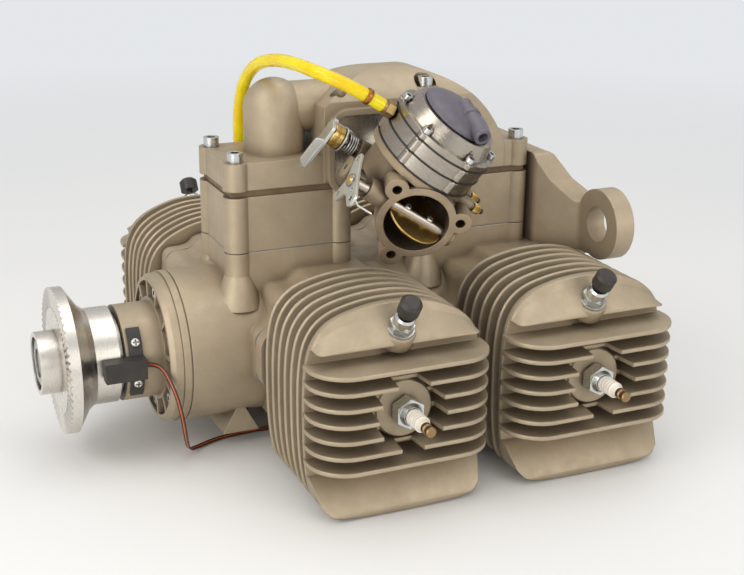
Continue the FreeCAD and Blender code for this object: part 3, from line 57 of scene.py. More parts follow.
# The stage, in metres. Each lamp has a place, a width and height, a power and a colour.
FLOOR_Z = -63.5 * MM
FLOOR_REACH = 15
FADE_MIDDLE = (0, 0.2, 0)
FADE_RANGE = (0.35, 1.5)
BACKDROP = (0.78, 0.80, 0.82, 1)
HORIZON = (0.62, 0.61, 0.60, 1)
OVERHEAD = (1.0, 1.0, 1.0, 1)
OVERHEAD_FROM = 0.8
WORLD_STRENGTH = 0.75
LAMP_AIM = (0, 0.2, 0.03)
LAMPS = {
    "key": ((0.35, -1.0, 1.05), (0.9, 0.7), 7, (1, 0.97, 0.92)),
    "top": ((0.1, 0.35, 1.3), (1.1, 1.1), 5.5, (1, 0.985, 0.96)),
    "fill": ((1.35, 0.75, 0.45), (0.9, 0.8), 5, (1, 0.96, 0.9)),
    "front": ((0.9, -0.9, 0.25), (1.0, 0.6), 6, (1, 0.97, 0.92)),
}

# Routes of the two free cords, in millimetres, as the part's own solids follow them.
HOSE_ROUTE = [
    (-40, 134, 60), (-40, 134, 88), (-40, 133.7, 117), (-39, 133.7, 141), (-29, 134.5, 161),
    (-8, 136, 174), (16, 139, 179.5), (42, 142, 181), (66, 147, 179), (78.1, 162.9, 172.07),
    (80.35, 181.38, 160.35)]
LEAD_ROUTE = [
    (34, 47, 3), (34, 51, 3), (40.5, 56.2, 2), (50, 59, -6), (53, 62, -17), (52.5, 64.5, -31),
    (48, 67, -45), (38, 71, -56.5), (25, 80, -61.8), (17, 97, -61.8), (15, 119, -61.8), (15, 142, -61.8)]
HOSE_RADIUS = 4
BAND_FROM_END = 12
LEAD_WIDTH = 3.2
WIRES = {
    "brown": ((0.055, 0.025, 0.012), (0.035, 0.015, 0.01)),
    "orange": ((0.62, 0.13, 0.03), (0.48, 0.08, 0.02)),
    "black": ((0.02, 0.015, 0.02), (0.03, 0.02, 0.02)),
}

# The carburettor's own frame has X along its bore outwards, Y along its shafts and Z to its cap.
CARB_PLACE = (100, 195, 93.6)
CARB_TURN = (-18.6, 17.8, -34)
CARB_BORE = 19.3
CHOKE_X = -7
CHOKE_OPEN = 14
THROTTLE_X = -50
ROD_RADIUS = 4
ROD_END = 27.3
PLATE_GAP = 0.3
PLATE_THICK = 1.5
CHOKE_LEVER_Y = -46
THROTTLE_LEVER_Y = -56
LEVER_THICK = 1.6
LINK_EYE = (15.5, -2.8)
CABLE_STOP = (-38, -8.4)
STACK_PLACE = (-34, -8)
STACK_RADIUS = 33
EAR_RING = STACK_RADIUS - 2.6
STACK_LEVELS = ((24.8, 33.3), (34.1, 42.6), (43.4, 47.4))
STACK_TOP = 56.4
CAP_RADIUS = 23
CAP_HEIGHT = 8
CAP_RIM = 1.4
NOZZLE_PLACE = (0, 1, 6.4)
NOZZLE_TURN = 19
NEEDLE_X = {"high": -26, "low": -38}
NEEDLE_Z = 16
KNURL_RADII = (2.85, 3.2)
KNURL_COUNT = 48

# Cylinders by name: the turn of the bank and the place along the shaft.
BORES = {
    "front_left": (0, 167.5), "front_right": (180, 130),
    "rear_left": (0, 293.3), "rear_right": (180, 255.8),
}

# A cylinder's own frame has X outwards from the shaft, Y along the shaft and Z upwards.
DECK_LEVELS = (54, 64)
DECK_HOLE = 28.9
PORT_X = 96
PORT_CLEAR = 16
PORT_LEVELS = (-56, -31)
BARREL_INNER = 31
FIN_COUNT = 7
FIN_START = 67
FIN_PITCH = 10.4
FIN_THICK = 2.6
FIN_HALF = 55.5
FIN_CROWN = 60.5
FIN_BOTTOM = -63.5
PORT_FIN_BOTTOM = -56
LEVEL_FIN_TOP = 26.9
LEVEL_FIN_PITCH = 9.6
LEVEL_FIN_ROUND = 23
HEAD_FLOOR = 132
HEAD_TIP = 160
HOOD_CHORD = 37.7
CHORD_POINTS = 48
VALVE_PLACE = (138.7, 0, 45.4)
VALVE_LEAN = 36.2
PLUG_SEAT = 146
PLUG_CLEAR = 21
GLAZE_START = 158.5
TERMINAL_START = 174
PLUG_TIP = 182

# The screws of the sensor's strip: their turns about the shaft, their place along it and how far out they are.
SENSOR_SCREW_TURNS = (29, -17)
SENSOR_SCREW_Y = 43
SENSOR_SCREW_BASE = 27.2

# What turns a form's Z to an axis, and what puts a flat point and its level into a plane.
AXES = {
    "x": Matrix.Rotation(math.pi / 2, 4, "Y"),
    "y": Matrix.Rotation(-math.pi / 2, 4, "X"),
    "z": Matrix(),
}
PLANES = {
    "xy": lambda u, v, w: (u, v, w),
    "xz": lambda u, v, w: (u, w, v),
    "yz": lambda u, v, w: (w, u, v),
}


def turned_camera(azimuth, elevation, roll, target, distance):
    """Matrix of a camera that looks at a target from an azimuth and an elevation, in degrees."""
    azimuth, elevation, roll = (math.radians(value) for value in (azimuth, elevation, roll))
    back = Vector((math.sin(azimuth) * math.cos(elevation), -math.cos(azimuth) * math.cos(elevation),
                   math.sin(elevation)))
    level = Vector((math.cos(azimuth), math.sin(azimuth), 0))
    upright = back.cross(level)
    right = level * math.cos(roll) + upright * math.sin(roll)
    up = upright * math.cos(roll) - level * math.sin(roll)
    turn = Matrix((right, up, back)).transposed().to_4x4()
    return Matrix.Translation(Vector(target) * MM + back * distance * MM) @ turn


def make_camera():
    """Camera in the photograph's place."""
    lens = bpy.data.cameras.new("camera")
    lens.sensor_fit = "HORIZONTAL"
    lens.sensor_width = SENSOR_WIDTH
    lens.lens = FOCAL_PIXELS / PHOTO_WIDTH * SENSOR_WIDTH
    lens.clip_start = 0.01
    lens.clip_end = 60
    camera = bpy.data.objects.new("camera", lens)
    bpy.context.scene.collection.objects.link(camera)
    camera.matrix_world = turned_camera(*CAMERA_TURNS, CAMERA_TARGET, CAMERA_DISTANCE)
    bpy.context.scene.camera = camera


def spin(yaw, pitch, roll):
    """Rotation by yaw, pitch and roll, in degrees."""
    yaw, pitch, roll = (math.radians(value) for value in (yaw, pitch, roll))
    return Matrix.Rotation(yaw, 4, "Z") @ Matrix.Rotation(pitch, 4, "Y") @ Matrix.Rotation(roll, 4, "X")


def seat_at(place, turn):
    """Frame in millimetres at a place, turned by yaw, pitch and roll."""
    return Matrix.Scale(MM, 4) @ Matrix.Translation(Vector(place)) @ spin(*turn)


CARB_SEAT = seat_at(CARB_PLACE, CARB_TURN)
CARB_UNTURN = spin(*CARB_TURN).to_3x3().transposed().to_euler()


class Shader:
    """A node material under construction, with one Principled shader."""

    def __init__(self, name, colour, metallic, roughness):
        self.material = bpy.data.materials.new(name)
        self.material.use_nodes = True
        self.nodes = self.material.node_tree.nodes
        self.links = self.material.node_tree.links
        self.shader = self.nodes["Principled BSDF"]
        self.shader.inputs["Base Color"].default_value = (*colour, 1)
        self.shader.inputs["Metallic"].default_value = metallic
        self.shader.inputs["Roughness"].default_value = roughness
        self.place = self.nodes.new("ShaderNodeTexCoord").outputs["Object"]

    def mapped(self, source, **settings):
        """Pass a place through a mapping."""
        mapping = self.nodes.new("ShaderNodeMapping")
        for name, value in settings.items():
            mapping.inputs[name].default_value = value
        self.links.new(source, mapping.inputs["Vector"])
        return mapping.outputs["Vector"]

    def noise(self, scale, detail, stretch=None, turn=None):
        """Noise over the object's own coordinates, given in waves per metre."""
        texture = self.nodes.new("ShaderNodeTexNoise")
        texture.inputs["Scale"].default_value = scale
        texture.inputs["Detail"].default_value = detail
        source = self.place
        if turn:
            source = self.mapped(source, Rotation=turn)
        if stretch:
            source = self.mapped(source, Scale=stretch)
        self.links.new(source, texture.inputs["Vector"])
        return texture.outputs["Fac"]

    def spread(self, value, low, high, start=0.3, end=0.7):
        """Map a value's middle range onto another range."""
        ranged = self.nodes.new("ShaderNodeMapRange")
        for name, number in (("From Min", start), ("From Max", end), ("To Min", low), ("To Max", high)):
            ranged.inputs[name].default_value = number
        self.links.new(value, ranged.inputs["Value"])
        return ranged.outputs["Result"]

    def mixed(self, share, first, second):
        """Mix two colours, each given as numbers or as a socket, by a share."""
        mix = self.nodes.new("ShaderNodeMix")
        mix.data_type = "RGBA"
        self.links.new(share, mix.inputs["Factor"])
        for socket, colour in zip(("A", "B"), (first, second)):
            target = [item for item in mix.inputs if item.name == socket and item.type == "RGBA"][0]
            if isinstance(colour, tuple):
                target.default_value = (*colour, 1)
            else:
                self.links.new(colour, target)
        return [item for item in mix.outputs if item.type == "RGBA"][0]

    def set(self, **sockets):
        """Link sockets of the shader by name, with underscores for spaces."""
        for name, value in sockets.items():
            self.links.new(value, self.shader.inputs[name.replace("_", " ")])

    def relief(self, height, depth, edge):
        """Bump from a height, in metres, over edges that are rounded by a radius."""
        bump = self.nodes.new("ShaderNodeBump")
        bump.inputs["Strength"].default_value = 1
        bump.inputs["Distance"].default_value = depth
        self.links.new(height, bump.inputs["Height"])
        rounding = self.nodes.new("ShaderNodeBevel")
        rounding.samples = 6
        rounding.inputs["Radius"].default_value = edge
        self.links.new(rounding.outputs["Normal"], bump.inputs["Normal"])
        self.links.new(bump.outputs["Normal"], self.shader.inputs["Normal"])

    def paint_hollow_shade(self, colour, painted_shade_colour, reach, start=0.25, end=0.9):
        """Paint shade into the hollow places of a form: a darker colour mixed in by ambient occlusion."""
        occlusion = self.nodes.new("ShaderNodeAmbientOcclusion")
        occlusion.samples = 6
        occlusion.inputs["Distance"].default_value = reach
        return self.mixed(self.spread(occlusion.outputs["AO"], 1, 0, start, end), colour, painted_shade_colour)


def cast_finish(name, light, dark, painted_shade_colour, reach, metallic):
    """Bead-blasted casting: mottled, grainy, with painted shade in its hollow places, and soft edges."""
    finish = Shader(name, light, metallic, 0.5)
    colour = finish.mixed(finish.spread(finish.noise(38, 4), 0, 1), light, dark)
    colour = finish.mixed(finish.spread(finish.noise(420, 3), 0, 0.3), colour, dark)
    # Painted shade: the hollow places darken by ambient occlusion.
    colour = finish.paint_hollow_shade(colour, painted_shade_colour, reach)
    finish.set(Base_Color=colour, Roughness=finish.spread(finish.noise(160, 2), 0.42, 0.58))
    finish.relief(finish.noise(1500, 4), 0.00012, edge=0.0009)
    return finish.material


def turned_finish(name, colour, shade, roughness, stretch=(1, 60, 1), turn=None):
    """Turned or ground metal with fine marks of the tool, and painted shade in its hollow places."""
    # Colour of the painted shade in the hollow places.
    painted_shade_colour = (0.10, 0.08, 0.06)
    finish = Shader(name, colour, 1, roughness)
    marks = finish.noise(260, 2, stretch, turn)
    mixture = finish.mixed(finish.spread(marks, 0, 0.8), colour, shade)
    finish.set(Base_Color=finish.paint_hollow_shade(mixture, painted_shade_colour, 0.004, 0.2, 0.8),
               Roughness=finish.spread(marks, roughness * 0.8, roughness * 1.3))
    finish.relief(marks, 0.00003, edge=0.0003)
    return finish.material


def moulded_finish(name, colour, shade, roughness, grain=1400):
    """Moulded plastic or rubber with a fine grain, and painted shade in its hollow places."""
    finish = Shader(name, colour, 0, roughness)
    mixture = finish.mixed(finish.spread(finish.noise(90, 3), 0, 1), colour, shade)
    # Colour of the painted shade in the hollow places: a darker copy of the shade colour.
    painted_shade_colour = tuple(part * 0.3 for part in shade)
    finish.set(Base_Color=finish.paint_hollow_shade(mixture, painted_shade_colour, 0.003, 0.1, 0.6),
               Roughness=finish.spread(finish.noise(grain / 3, 2), roughness * 0.85, roughness * 1.2))
    finish.relief(finish.noise(grain, 2), 0.00004, edge=0.0004)
    return finish.material


def hose_finish():
    """Clear yellow tube: it lets some light through and is a little deeper at its core."""
    finish = Shader("hose_finish", (0.93, 0.70, 0.01), 0, 0.16)
    finish.shader.inputs["Transmission Weight"].default_value = 0.3
    finish.shader.inputs["IOR"].default_value = 1.42
    finish.shader.inputs["Subsurface Weight"].default_value = 0.25
    finish.shader.inputs["Subsurface Radius"].default_value = (0.004, 0.003, 0.0004)
    share = finish.spread(finish.noise(55, 2), 0, 1)
    finish.set(Base_Color=finish.mixed(share, (0.98, 0.84, 0.01), (0.92, 0.66, 0.01)))
    return finish.material


def make_finishes():
    """Finishes by name: one for each material slot of the record, and those of single nodes."""
    along_cap = {"stretch": (1, 1, 60), "turn": CARB_UNTURN}
    plain = {"stretch": (12, 12, 12)}
    return {
        # The third colour of each casting is the colour of its painted shade.
        "cast_aluminium": cast_finish("cast_finish", (0.47, 0.385, 0.275), (0.38, 0.31, 0.215),
                                      (0.19, 0.15, 0.10), reach=0.009, metallic=0.5),
        "machined_aluminium": turned_finish("machined_finish", (0.80, 0.77, 0.72), (0.60, 0.56, 0.50), 0.27),
        "steel": turned_finish("steel_finish", (0.50, 0.49, 0.47), (0.36, 0.35, 0.34), 0.30),
        "plated_steel": turned_finish("plated_finish", (0.70, 0.72, 0.71), (0.46, 0.48, 0.47), 0.24, **plain),
        "brass": turned_finish("brass_finish", (0.72, 0.50, 0.17), (0.46, 0.28, 0.08), 0.28, **plain),
        "plug_ceramic": moulded_finish("ceramic_finish", (0.80, 0.76, 0.68), (0.66, 0.60, 0.50), 0.18, 300),
        "black_plastic": moulded_finish("black_finish", (0.018, 0.015, 0.013), (0.032, 0.027, 0.023), 0.45),
        "grey_plastic": moulded_finish("grey_finish", (0.13, 0.115, 0.145), (0.095, 0.085, 0.11), 0.42),
        "gasket": moulded_finish("gasket_finish", (0.17, 0.22, 0.28), (0.10, 0.13, 0.17), 0.5),
        "hose": hose_finish(),
        "wire": moulded_finish("wire_finish", (0.16, 0.04, 0.015), (0.10, 0.02, 0.01), 0.4),
        "sticker_black": moulded_finish("strip_finish", (0.02, 0.02, 0.02), (0.035, 0.033, 0.03), 0.5),
        "reed_plate": moulded_finish("reed_plate_finish", (0.20, 0.135, 0.075), (0.13, 0.08, 0.04), 0.5),
        # Near-black painted shade fills its hollow places over a wide reach, the bore among them.
        "carb_casting": cast_finish("carb_casting_finish", (0.47, 0.375, 0.26), (0.33, 0.25, 0.165),
                                    (0.035, 0.022, 0.012), reach=0.03, metallic=0.6),
        # Its marks wind round the cap's axis as dark and bright rings: tool marks, and painted ring
        # reflections too.
        "carb_metal": turned_finish("carb_metal_finish", (0.50, 0.455, 0.40), (0.24, 0.205, 0.165), 0.24,
                                    **along_cap),
        "carb_gasket": moulded_finish("carb_gasket_finish", (0.012, 0.011, 0.010), (0.02, 0.018, 0.015), 0.5),
        "bronze": turned_finish("bronze_finish", (0.47, 0.34, 0.15), (0.30, 0.20, 0.08), 0.42, **plain),
        "zinc": turned_finish("zinc_finish", (0.80, 0.81, 0.77), (0.62, 0.64, 0.60), 0.36, **plain),
        "terminal": turned_finish("terminal_finish", (0.40, 0.27, 0.14), (0.20, 0.12, 0.06), 0.35, **plain),
        "copper": turned_finish("copper_finish", (0.48, 0.20, 0.06), (0.28, 0.10, 0.03), 0.3, **plain),
    }


OWN_FINISH = {
    "reed_blocks": "reed_plate", "carb_body": "carb_casting", "carb_pump_plates": "carb_metal",
    "carb_cover": "carb_metal", "carb_gaskets": "carb_gasket", "hose_fittings": "bronze",
}


def dress_nodes(finishes):
    """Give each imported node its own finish, or that of its slot."""
    for part in frame["record"]["subparts"]:
        materials = NODES[part["node"]].data.materials
        materials.clear()
        materials.append(finishes[OWN_FINISH.get(part["node"], part["material_slot"])])


def rounded(corners, radius, steps=4):
    """Outline with its corners rounded off."""
    outline = []
    total = len(corners)
    for i, corner in enumerate(corners):
        middle = Vector(corner)
        ends = []
        for neighbour in (corners[i - 1], corners[(i + 1) % total]):
            away = Vector(neighbour) - middle
            ends.append(middle + away.normalized() * min(radius, away.length * 0.45))
        for k in range(steps + 1):
            share = k / steps
            point = ends[0] * (1 - share) ** 2 + middle * 2 * share * (1 - share) + ends[1] * share ** 2
            outline.append(tuple(point))
    return outline


def circle(radius, at=(0, 0), steps=20):
    """Points of a circle."""
    turns = [math.tau * k / steps for k in range(steps)]
    return [(at[0] + radius * math.cos(a), at[1] + radius * math.sin(a)) for a in turns]


class Form:
    """A mesh under construction, in millimetres of a frame of its own."""

    def __init__(self, seat):
        self.seat = seat
        self.builder = bmesh.new()

    def corner(self, point):
        """Add a corner at a point of the frame."""
        return self.builder.verts.new(self.seat @ Vector(point))

    def skin(self, rings, hollow=False):
        """Close a row of rings into one body, or into a tube whose last ring meets its first."""
        total = len(rings[0])
        pairs = list(zip(rings, rings[1:]))
        if hollow:
            pairs.append((rings[-1], rings[0]))
        for first, second in pairs:
            for k in range(total):
                after = (k + 1) % total
                self.builder.faces.new((first[k], first[after], second[after], second[k]))
        if not hollow:
            self.builder.faces.new(reversed(rings[0]))
            self.builder.faces.new(rings[-1])

    def lathe(self, profile, at=(0, 0, 0), axis="z", steps=40, dent=None, hollow=False):
        """Turn (radius, height) corners about an axis; a dent says how far a point sinks."""
        local = Matrix.Translation(at) @ AXES[axis]
        rings = []
        for radius, height in profile:
            ring = []
            for u, v in circle(radius, steps=steps):
                sunk = dent(u, v, height) if dent else 0
                ring.append(self.corner(local @ Vector((u, v, height - sunk))))
            rings.append(ring)
        self.skin(rings, hollow)

    def sheet(self, loops, low, high, plane):
        """Flat sheet between two levels, from an outline and the outlines of its holes."""
        flat = [point for loop in loops for point in loop]
        levels = [[self.corner(PLANES[plane](*point, level)) for point in flat] for level in (low, high)]
        for a, b, c in tessellate_polygon([[Vector((*point, 0)) for point in loop] for loop in loops]):
            for level in levels:
                self.builder.faces.new((level[a], level[b], level[c]))
        start = 0
        for loop in loops:
            total = len(loop)
            for k in range(total):
                a, b = start + k, start + (k + 1) % total
                self.builder.faces.new((levels[0][a], levels[0][b], levels[1][b], levels[1][a]))
            start += total

    def wire(self, points, radius):
        """Round wire along a line of points."""
        path = [self.seat @ Vector(point) for point in points]
        tube_rings(self.builder, path, radius * MM, 0, steps=8)

    def coil(self, at, radius, wire, pitch, turns, axis):
        """Wound spring that starts at a point and rises along an axis."""
        local = Matrix.Translation(at) @ AXES[axis]
        steps = 20
        points = []
        for k in range(int(turns * steps) + 1):
            angle = math.tau * k / steps
            place = (radius * math.cos(angle), radius * math.sin(angle), pitch * k / steps)
            points.append(local @ Vector(place))
        self.wire(points, wire)

    def finish(self, name, body, slot, material, *nodes):
        """Turn the form into a piece that rides on a body and stands for nodes."""
        item = mesh_object(name, self.builder, [material])
        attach(item, body)
        if nodes:
            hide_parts(*nodes)


def route_curve(name, points):
    """Smooth line with a route's points as its control points."""
    data = bpy.data.curves.new(name, "CURVE")
    data.dimensions = "3D"
    data.resolution_u = 12
    spline = data.splines.new("NURBS")
    spline.points.add(len(points) - 1)
    for control, point in zip(spline.points, points):
        control.co = (*(value * MM for value in point), 1)
    spline.order_u = 3
    spline.use_endpoint_u = True
    item = bpy.data.objects.new(name, data)
    bpy.context.scene.collection.objects.link(item)
    return item


def line_of(curve):
    """Points along a curve that has no bevel."""
    bpy.context.view_layer.update()
    graph = bpy.context.evaluated_depsgraph_get()
    mesh = bpy.data.meshes.new_from_object(curve.evaluated_get(graph))
    points = [vertex.co.copy() for vertex in mesh.vertices]
    bpy.data.meshes.remove(mesh)
    return points


def length_of(points):
    """Length of a line of points."""
    return sum((after - before).length for before, after in zip(points, points[1:]))


def tube_rings(builder, points, radius, offset, steps=12):
    """Add a closed tube beside a line, shifted to its side by an offset, with no twist."""
    side = Vector((0, 0, 1))
    rings = []
    for i, point in enumerate(points):
        ahead = (points[min(i + 1, len(points) - 1)] - points[max(i - 1, 0)]).normalized()
        if abs(side.dot(ahead)) > 0.95:
            side = Vector((1, 0, 0))
        side = (side - ahead * side.dot(ahead)).normalized()
        across = ahead.cross(side)
        middle = point + side * offset
        rings.append([builder.verts.new(middle + (side * u + across * v) * radius)
                      for u, v in circle(1, steps=steps)])
    for first, second in zip(rings, rings[1:]):
        for k in range(steps):
            builder.faces.new((first[k], first[(k + 1) % steps], second[(k + 1) % steps], second[k]))
    builder.faces.new(reversed(rings[0]))
    builder.faces.new(rings[-1])


def mesh_object(name, builder, materials):
    """Turn a mesh under construction into an object that is smooth but for its sharp edges."""
    bmesh.ops.recalc_face_normals(builder, faces=builder.faces)
    data = bpy.data.meshes.new(name)
    builder.to_mesh(data)
    builder.free()
    for material in materials:
        data.materials.append(material)
    for face in data.polygons:
        face.use_smooth = True
    data.set_sharp_from_angle(angle=math.radians(SHARP_ANGLE))
    item = bpy.data.objects.new(name, data)
    bpy.context.scene.collection.objects.link(item)
    return item


def make_hose(finishes):
    """Fuel hose from the crankcase over the manifold to the carburettor."""
    curve = route_curve("hose_line", HOSE_ROUTE)
    length = length_of(line_of(curve))
    curve.data.bevel_depth = HOSE_RADIUS * MM
    curve.data.bevel_resolution = 6
    curve.data.use_fill_caps = True
    curve.data.materials.append(finishes["hose"])
    curve.name = "fuel_hose_tube"
    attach(curve, "engine")
    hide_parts("fuel_hose")


def make_lead(finishes):
    """Flat lead of three wires, from the sensor down to its plug."""
    curve = route_curve("lead_line", LEAD_ROUTE)
    points = line_of(curve)
    bpy.data.objects.remove(curve)
    builder = bmesh.new()
    wire = LEAD_WIDTH * MM / 2 / len(WIRES)
    faces_before = 0
    for number in range(len(WIRES)):
        tube_rings(builder, points, wire, (1 - number) * 2 * wire)
        builder.faces.ensure_lookup_table()
        for face in builder.faces[faces_before:]:
            face.material_index = number
        faces_before = len(builder.faces)
    insulation = [moulded_finish(f"wire_{name}", light, dark, 0.38) for name, (light, dark) in WIRES.items()]
    lead = mesh_object("sensor_wires", builder, insulation)
    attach(lead, "engine")
    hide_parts("sensor_lead")


def make_hose_band(finishes):
    """Copper band that holds the hose on the carburettor's fitting."""
    start, end = (Vector(point) for point in HOSE_ROUTE[-2:])
    along = (end - start).normalized()
    turn = along.to_track_quat("Z", "Y").to_matrix().to_4x4()
    band = Form(Matrix.Scale(MM, 4) @ Matrix.Translation(end - along * BAND_FROM_END) @ turn)
    inner, edge, outer = HOSE_RADIUS - 0.3, HOSE_RADIUS + 0.7, HOSE_RADIUS + 0.9
    band.lathe([(inner, 0), (edge, 0), (outer, 0.4), (outer, 2.6), (edge, 3), (inner, 3)])
    band.finish("hose_band", "engine", "brass", finishes["copper"])


def cross_dent(reach, half, floor, depth):
    """How far a point of a screw's head sinks into its cross."""
    def sunk(u, v, height):
        inside = math.hypot(u, v) < reach and min(abs(u), abs(v)) < half and height > floor
        return depth if inside else 0
    return sunk


def pan_head(form, at, radius, height):
    """Cross-head screw with a domed head; the many rings of its flat are where the cross sinks in."""
    rim = [(radius, at[2]), (radius, at[2] + height * 0.5), (radius * 0.86, at[2] + height * 0.85)]
    shares = (0.68, 0.6, 0.52, 0.44, 0.36, 0.28, 0.2, 0.12, 0.05)
    flat = [(radius * share, at[2] + height) for share in shares]
    dent = cross_dent(radius * 0.62, radius * 0.13, at[2] + height * 0.9, 0.9)
    form.lathe(rim + flat, (at[0], at[1], 0), steps=48, dent=dent)


def make_sensor_screws(finishes):
    """The two cross-head screws of the sensor's strip."""
    screws = Form(Matrix())
    for turn in SENSOR_SCREW_TURNS:
        angle = math.radians(turn)
        place = (SENSOR_SCREW_BASE * math.cos(angle), SENSOR_SCREW_Y, SENSOR_SCREW_BASE * math.sin(angle))
        screws.seat = seat_at(place, (0, 90 - turn, 0))
        screws.lathe([(1.2, 0), (1.2, 5)], steps=16)
        pan_head(screws, (0, 0, 5), 2.8, 1.8)
    screws.finish("sensor_cross_screws", "engine", "plated_steel", finishes["zinc"], "sensor_screws")


def deck_outline():
    """Foot of a cylinder: a rounded square with swellings for the transfer ports."""
    corners = [(-45, -45), (45, -45), (45, -16), (57, -10), (57, 20), (45, 26), (45, 45), (28, 45), (22, 52),
               (-22, 52), (-28, 45), (-45, 45), (-45, 26), (-57, 20), (-57, -10), (-45, -16)]
    return rounded(corners, 8)


def fin_outline(bottom=FIN_BOTTOM):
    """Outline of the upright fins: a domed top, straight sides and round lower corners."""
    corners = [(FIN_HALF, -30), (FIN_HALF, 30), (44, 49), (17, FIN_CROWN), (-15, FIN_CROWN), (-43, 53),
               (-FIN_HALF, 33), (-FIN_HALF, -30), (-50, FIN_BOTTOM + 4), (-24, bottom), (24, bottom),
               (50, FIN_BOTTOM + 4)]
    return rounded(corners, 30, 6)


def upright_fin(form, start, outline):
    """Cast fin round the barrel that is thicker at its root than at its edge."""
    inner = [Vector(point).normalized() * BARREL_INNER for point in outline]
    section = ((-0.7, 0.7), (0.2, 0.985), (FIN_THICK / 2, 1),
               (FIN_THICK - 0.2, 0.985), (FIN_THICK + 0.7, 0.7))
    rings = [[form.corner((start - 0.9, y, z)) for y, z in inner]]
    for out, share in section:
        rings.append([form.corner((start + out, y * share, z * share)) for y, z in outline])
    rings.append([form.corner((start + FIN_THICK + 0.9, y, z)) for y, z in inner])
    form.skin(rings, hollow=True)


def level_fin(form, level):
    """Level fin of the head: its corners are round, and it stops short of the plug's boss."""
    middle = level + FIN_THICK / 2
    gap = math.sqrt(max(PLUG_CLEAR ** 2 - middle ** 2, 0))
    steps = 8
    outline = [(HEAD_FLOOR - 1, -FIN_HALF)]
    for k in range(steps + 1):
        angle = math.pi / 2 * k / steps
        outline.append((HEAD_TIP - LEVEL_FIN_ROUND * (1 - math.sin(angle)),
                        LEVEL_FIN_ROUND * (1 - math.cos(angle)) - FIN_HALF))
    if gap:
        outline += [(HEAD_TIP, -gap), (PLUG_SEAT - 1, 1.5 - gap)]
    outline += [(x, -y) for x, y in reversed(outline)]
    rings = []
    for rise, inset in ((0, 0.45), (0.5, 0), (FIN_THICK - 0.5, 0), (FIN_THICK, 0.45)):
        rings.append([form.corner((x - inset if x > HEAD_FLOOR + 2 else x, y, level + rise))
                      for x, y in outline])
    form.skin(rings)


def part_outline(above, chord, squeeze):
    """The stretch of the fin outline above or below a chord, squeezed towards it, at even spacing."""
    outline = fin_outline()
    loop = outline + outline[:1]
    steps = 12
    fine = []
    for (y, z), (next_y, next_z) in zip(loop, loop[1:]):
        fine += [(y + (next_y - y) * k / steps, z + (next_z - z) * k / steps) for k in range(steps)]
    kept = [(y, z) for y, z in fine if (z > chord if above else z < chord)]
    way = 1 if above else -1
    kept.sort(key=lambda point: way * math.atan2(point[1], point[0]))
    last = len(kept) - 1
    picked = [kept[round(k * last / (CHORD_POINTS - 1))] for k in range(CHORD_POINTS)]
    return [(y, chord + (z - chord) * squeeze) for y, z in picked]


def add_barrel(form):
    """Barrel with the plug's boss, the foot, the exhaust flange and the upright fins."""
    barrel = [(29, 45), (29, 54.2), (33, 54.2), (33, 113), (37, 117), (37, 130), (20.5, 131), (19.5, 133),
              (17.6, PLUG_SEAT - 1), (16.8, PLUG_SEAT), (5.2, PLUG_SEAT), (5.2, 128), (12, 128), (26.1, 118),
              (26.1, 45)]
    form.lathe(barrel, axis="x", steps=72, hollow=True)
    form.sheet([deck_outline(), circle(DECK_HOLE, steps=48)], *DECK_LEVELS, "yz")
    sides = ((-1, -1), (1, -1), (1, 1), (-1, 1))
    port = rounded([(PORT_X + 7 * a, 13 * b) for a, b in sides], 4)
    flange = rounded([(PORT_X + 14 * a, 22 * b) for a, b in sides], 5)
    bolts = [circle(3, (PORT_X, y), 12) for y in (-17.5, 17.5)]
    form.sheet([flange, port, *bolts], *PORT_LEVELS, "xy")
    for number in range(FIN_COUNT):
        start = FIN_START + number * FIN_PITCH
        beside_port = abs(start - PORT_X) < PORT_CLEAR
        upright_fin(form, start, fin_outline(PORT_FIN_BOTTOM if beside_port else FIN_BOTTOM))


def add_head(form):
    """Floor of the head with its level fins, the hood above them and the chin below."""
    pockets = [circle(5.5, (y, z)) for y in (-37, 37) for z in (33, -38)]
    form.sheet([fin_outline(), circle(20, steps=40), *pockets], HEAD_FLOOR - 3, HEAD_FLOOR, "yz")
    for number in range(FIN_COUNT):
        level_fin(form, LEVEL_FIN_TOP - number * LEVEL_FIN_PITCH)
    hood = ((-1, 1, 1), (1.5, 0.97, 1), (2.5, 0.72, 0.99), (9, 0.38, 0.985), (10.6, 0.2, 0.965),
            (11.6, 0.12, 0.945), (12, 0.06, 0.93))
    rings = []
    for out, share, across in hood:
        rings.append([form.corner((HEAD_FLOOR + out, y * across, z))
                      for y, z in part_outline(True, HOOD_CHORD, share)])
    form.skin(rings)
    chin = ((-1, -38, 1), (4, -40, 1), (15, -54, 0.97), (17, -58, 0.9), (17.4, -59, 0.8))
    rings = []
    for out, chord, share in chin:
        rings.append([form.corner((HEAD_FLOOR + out, y, z)) for y, z in part_outline(False, chord, share)])
    form.skin(rings)


def make_cylinders(finishes):
    """Cylinder castings with domed fins, hooded heads, rounded chins and decompression valve bosses."""
    lean = Matrix.Translation(VALVE_PLACE) @ Matrix.Rotation(math.radians(VALVE_LEAN), 4, "Y")
    for name, (turn, place) in BORES.items():
        form = Form(seat_at((0, place, 0), (turn, 0, 0)))
        add_barrel(form)
        add_head(form)
        form.seat = form.seat @ lean
        form.lathe([(10.4, -9), (9.8, -1), (9.2, 0.4), (8, 0.9), (4.2, 0.9), (4.2, -8)], hollow=True)
        form.finish(f"cylinder_casting_{name}", "engine", "cast_aluminium", finishes["cast_aluminium"],
                    f"cylinder_{name}")


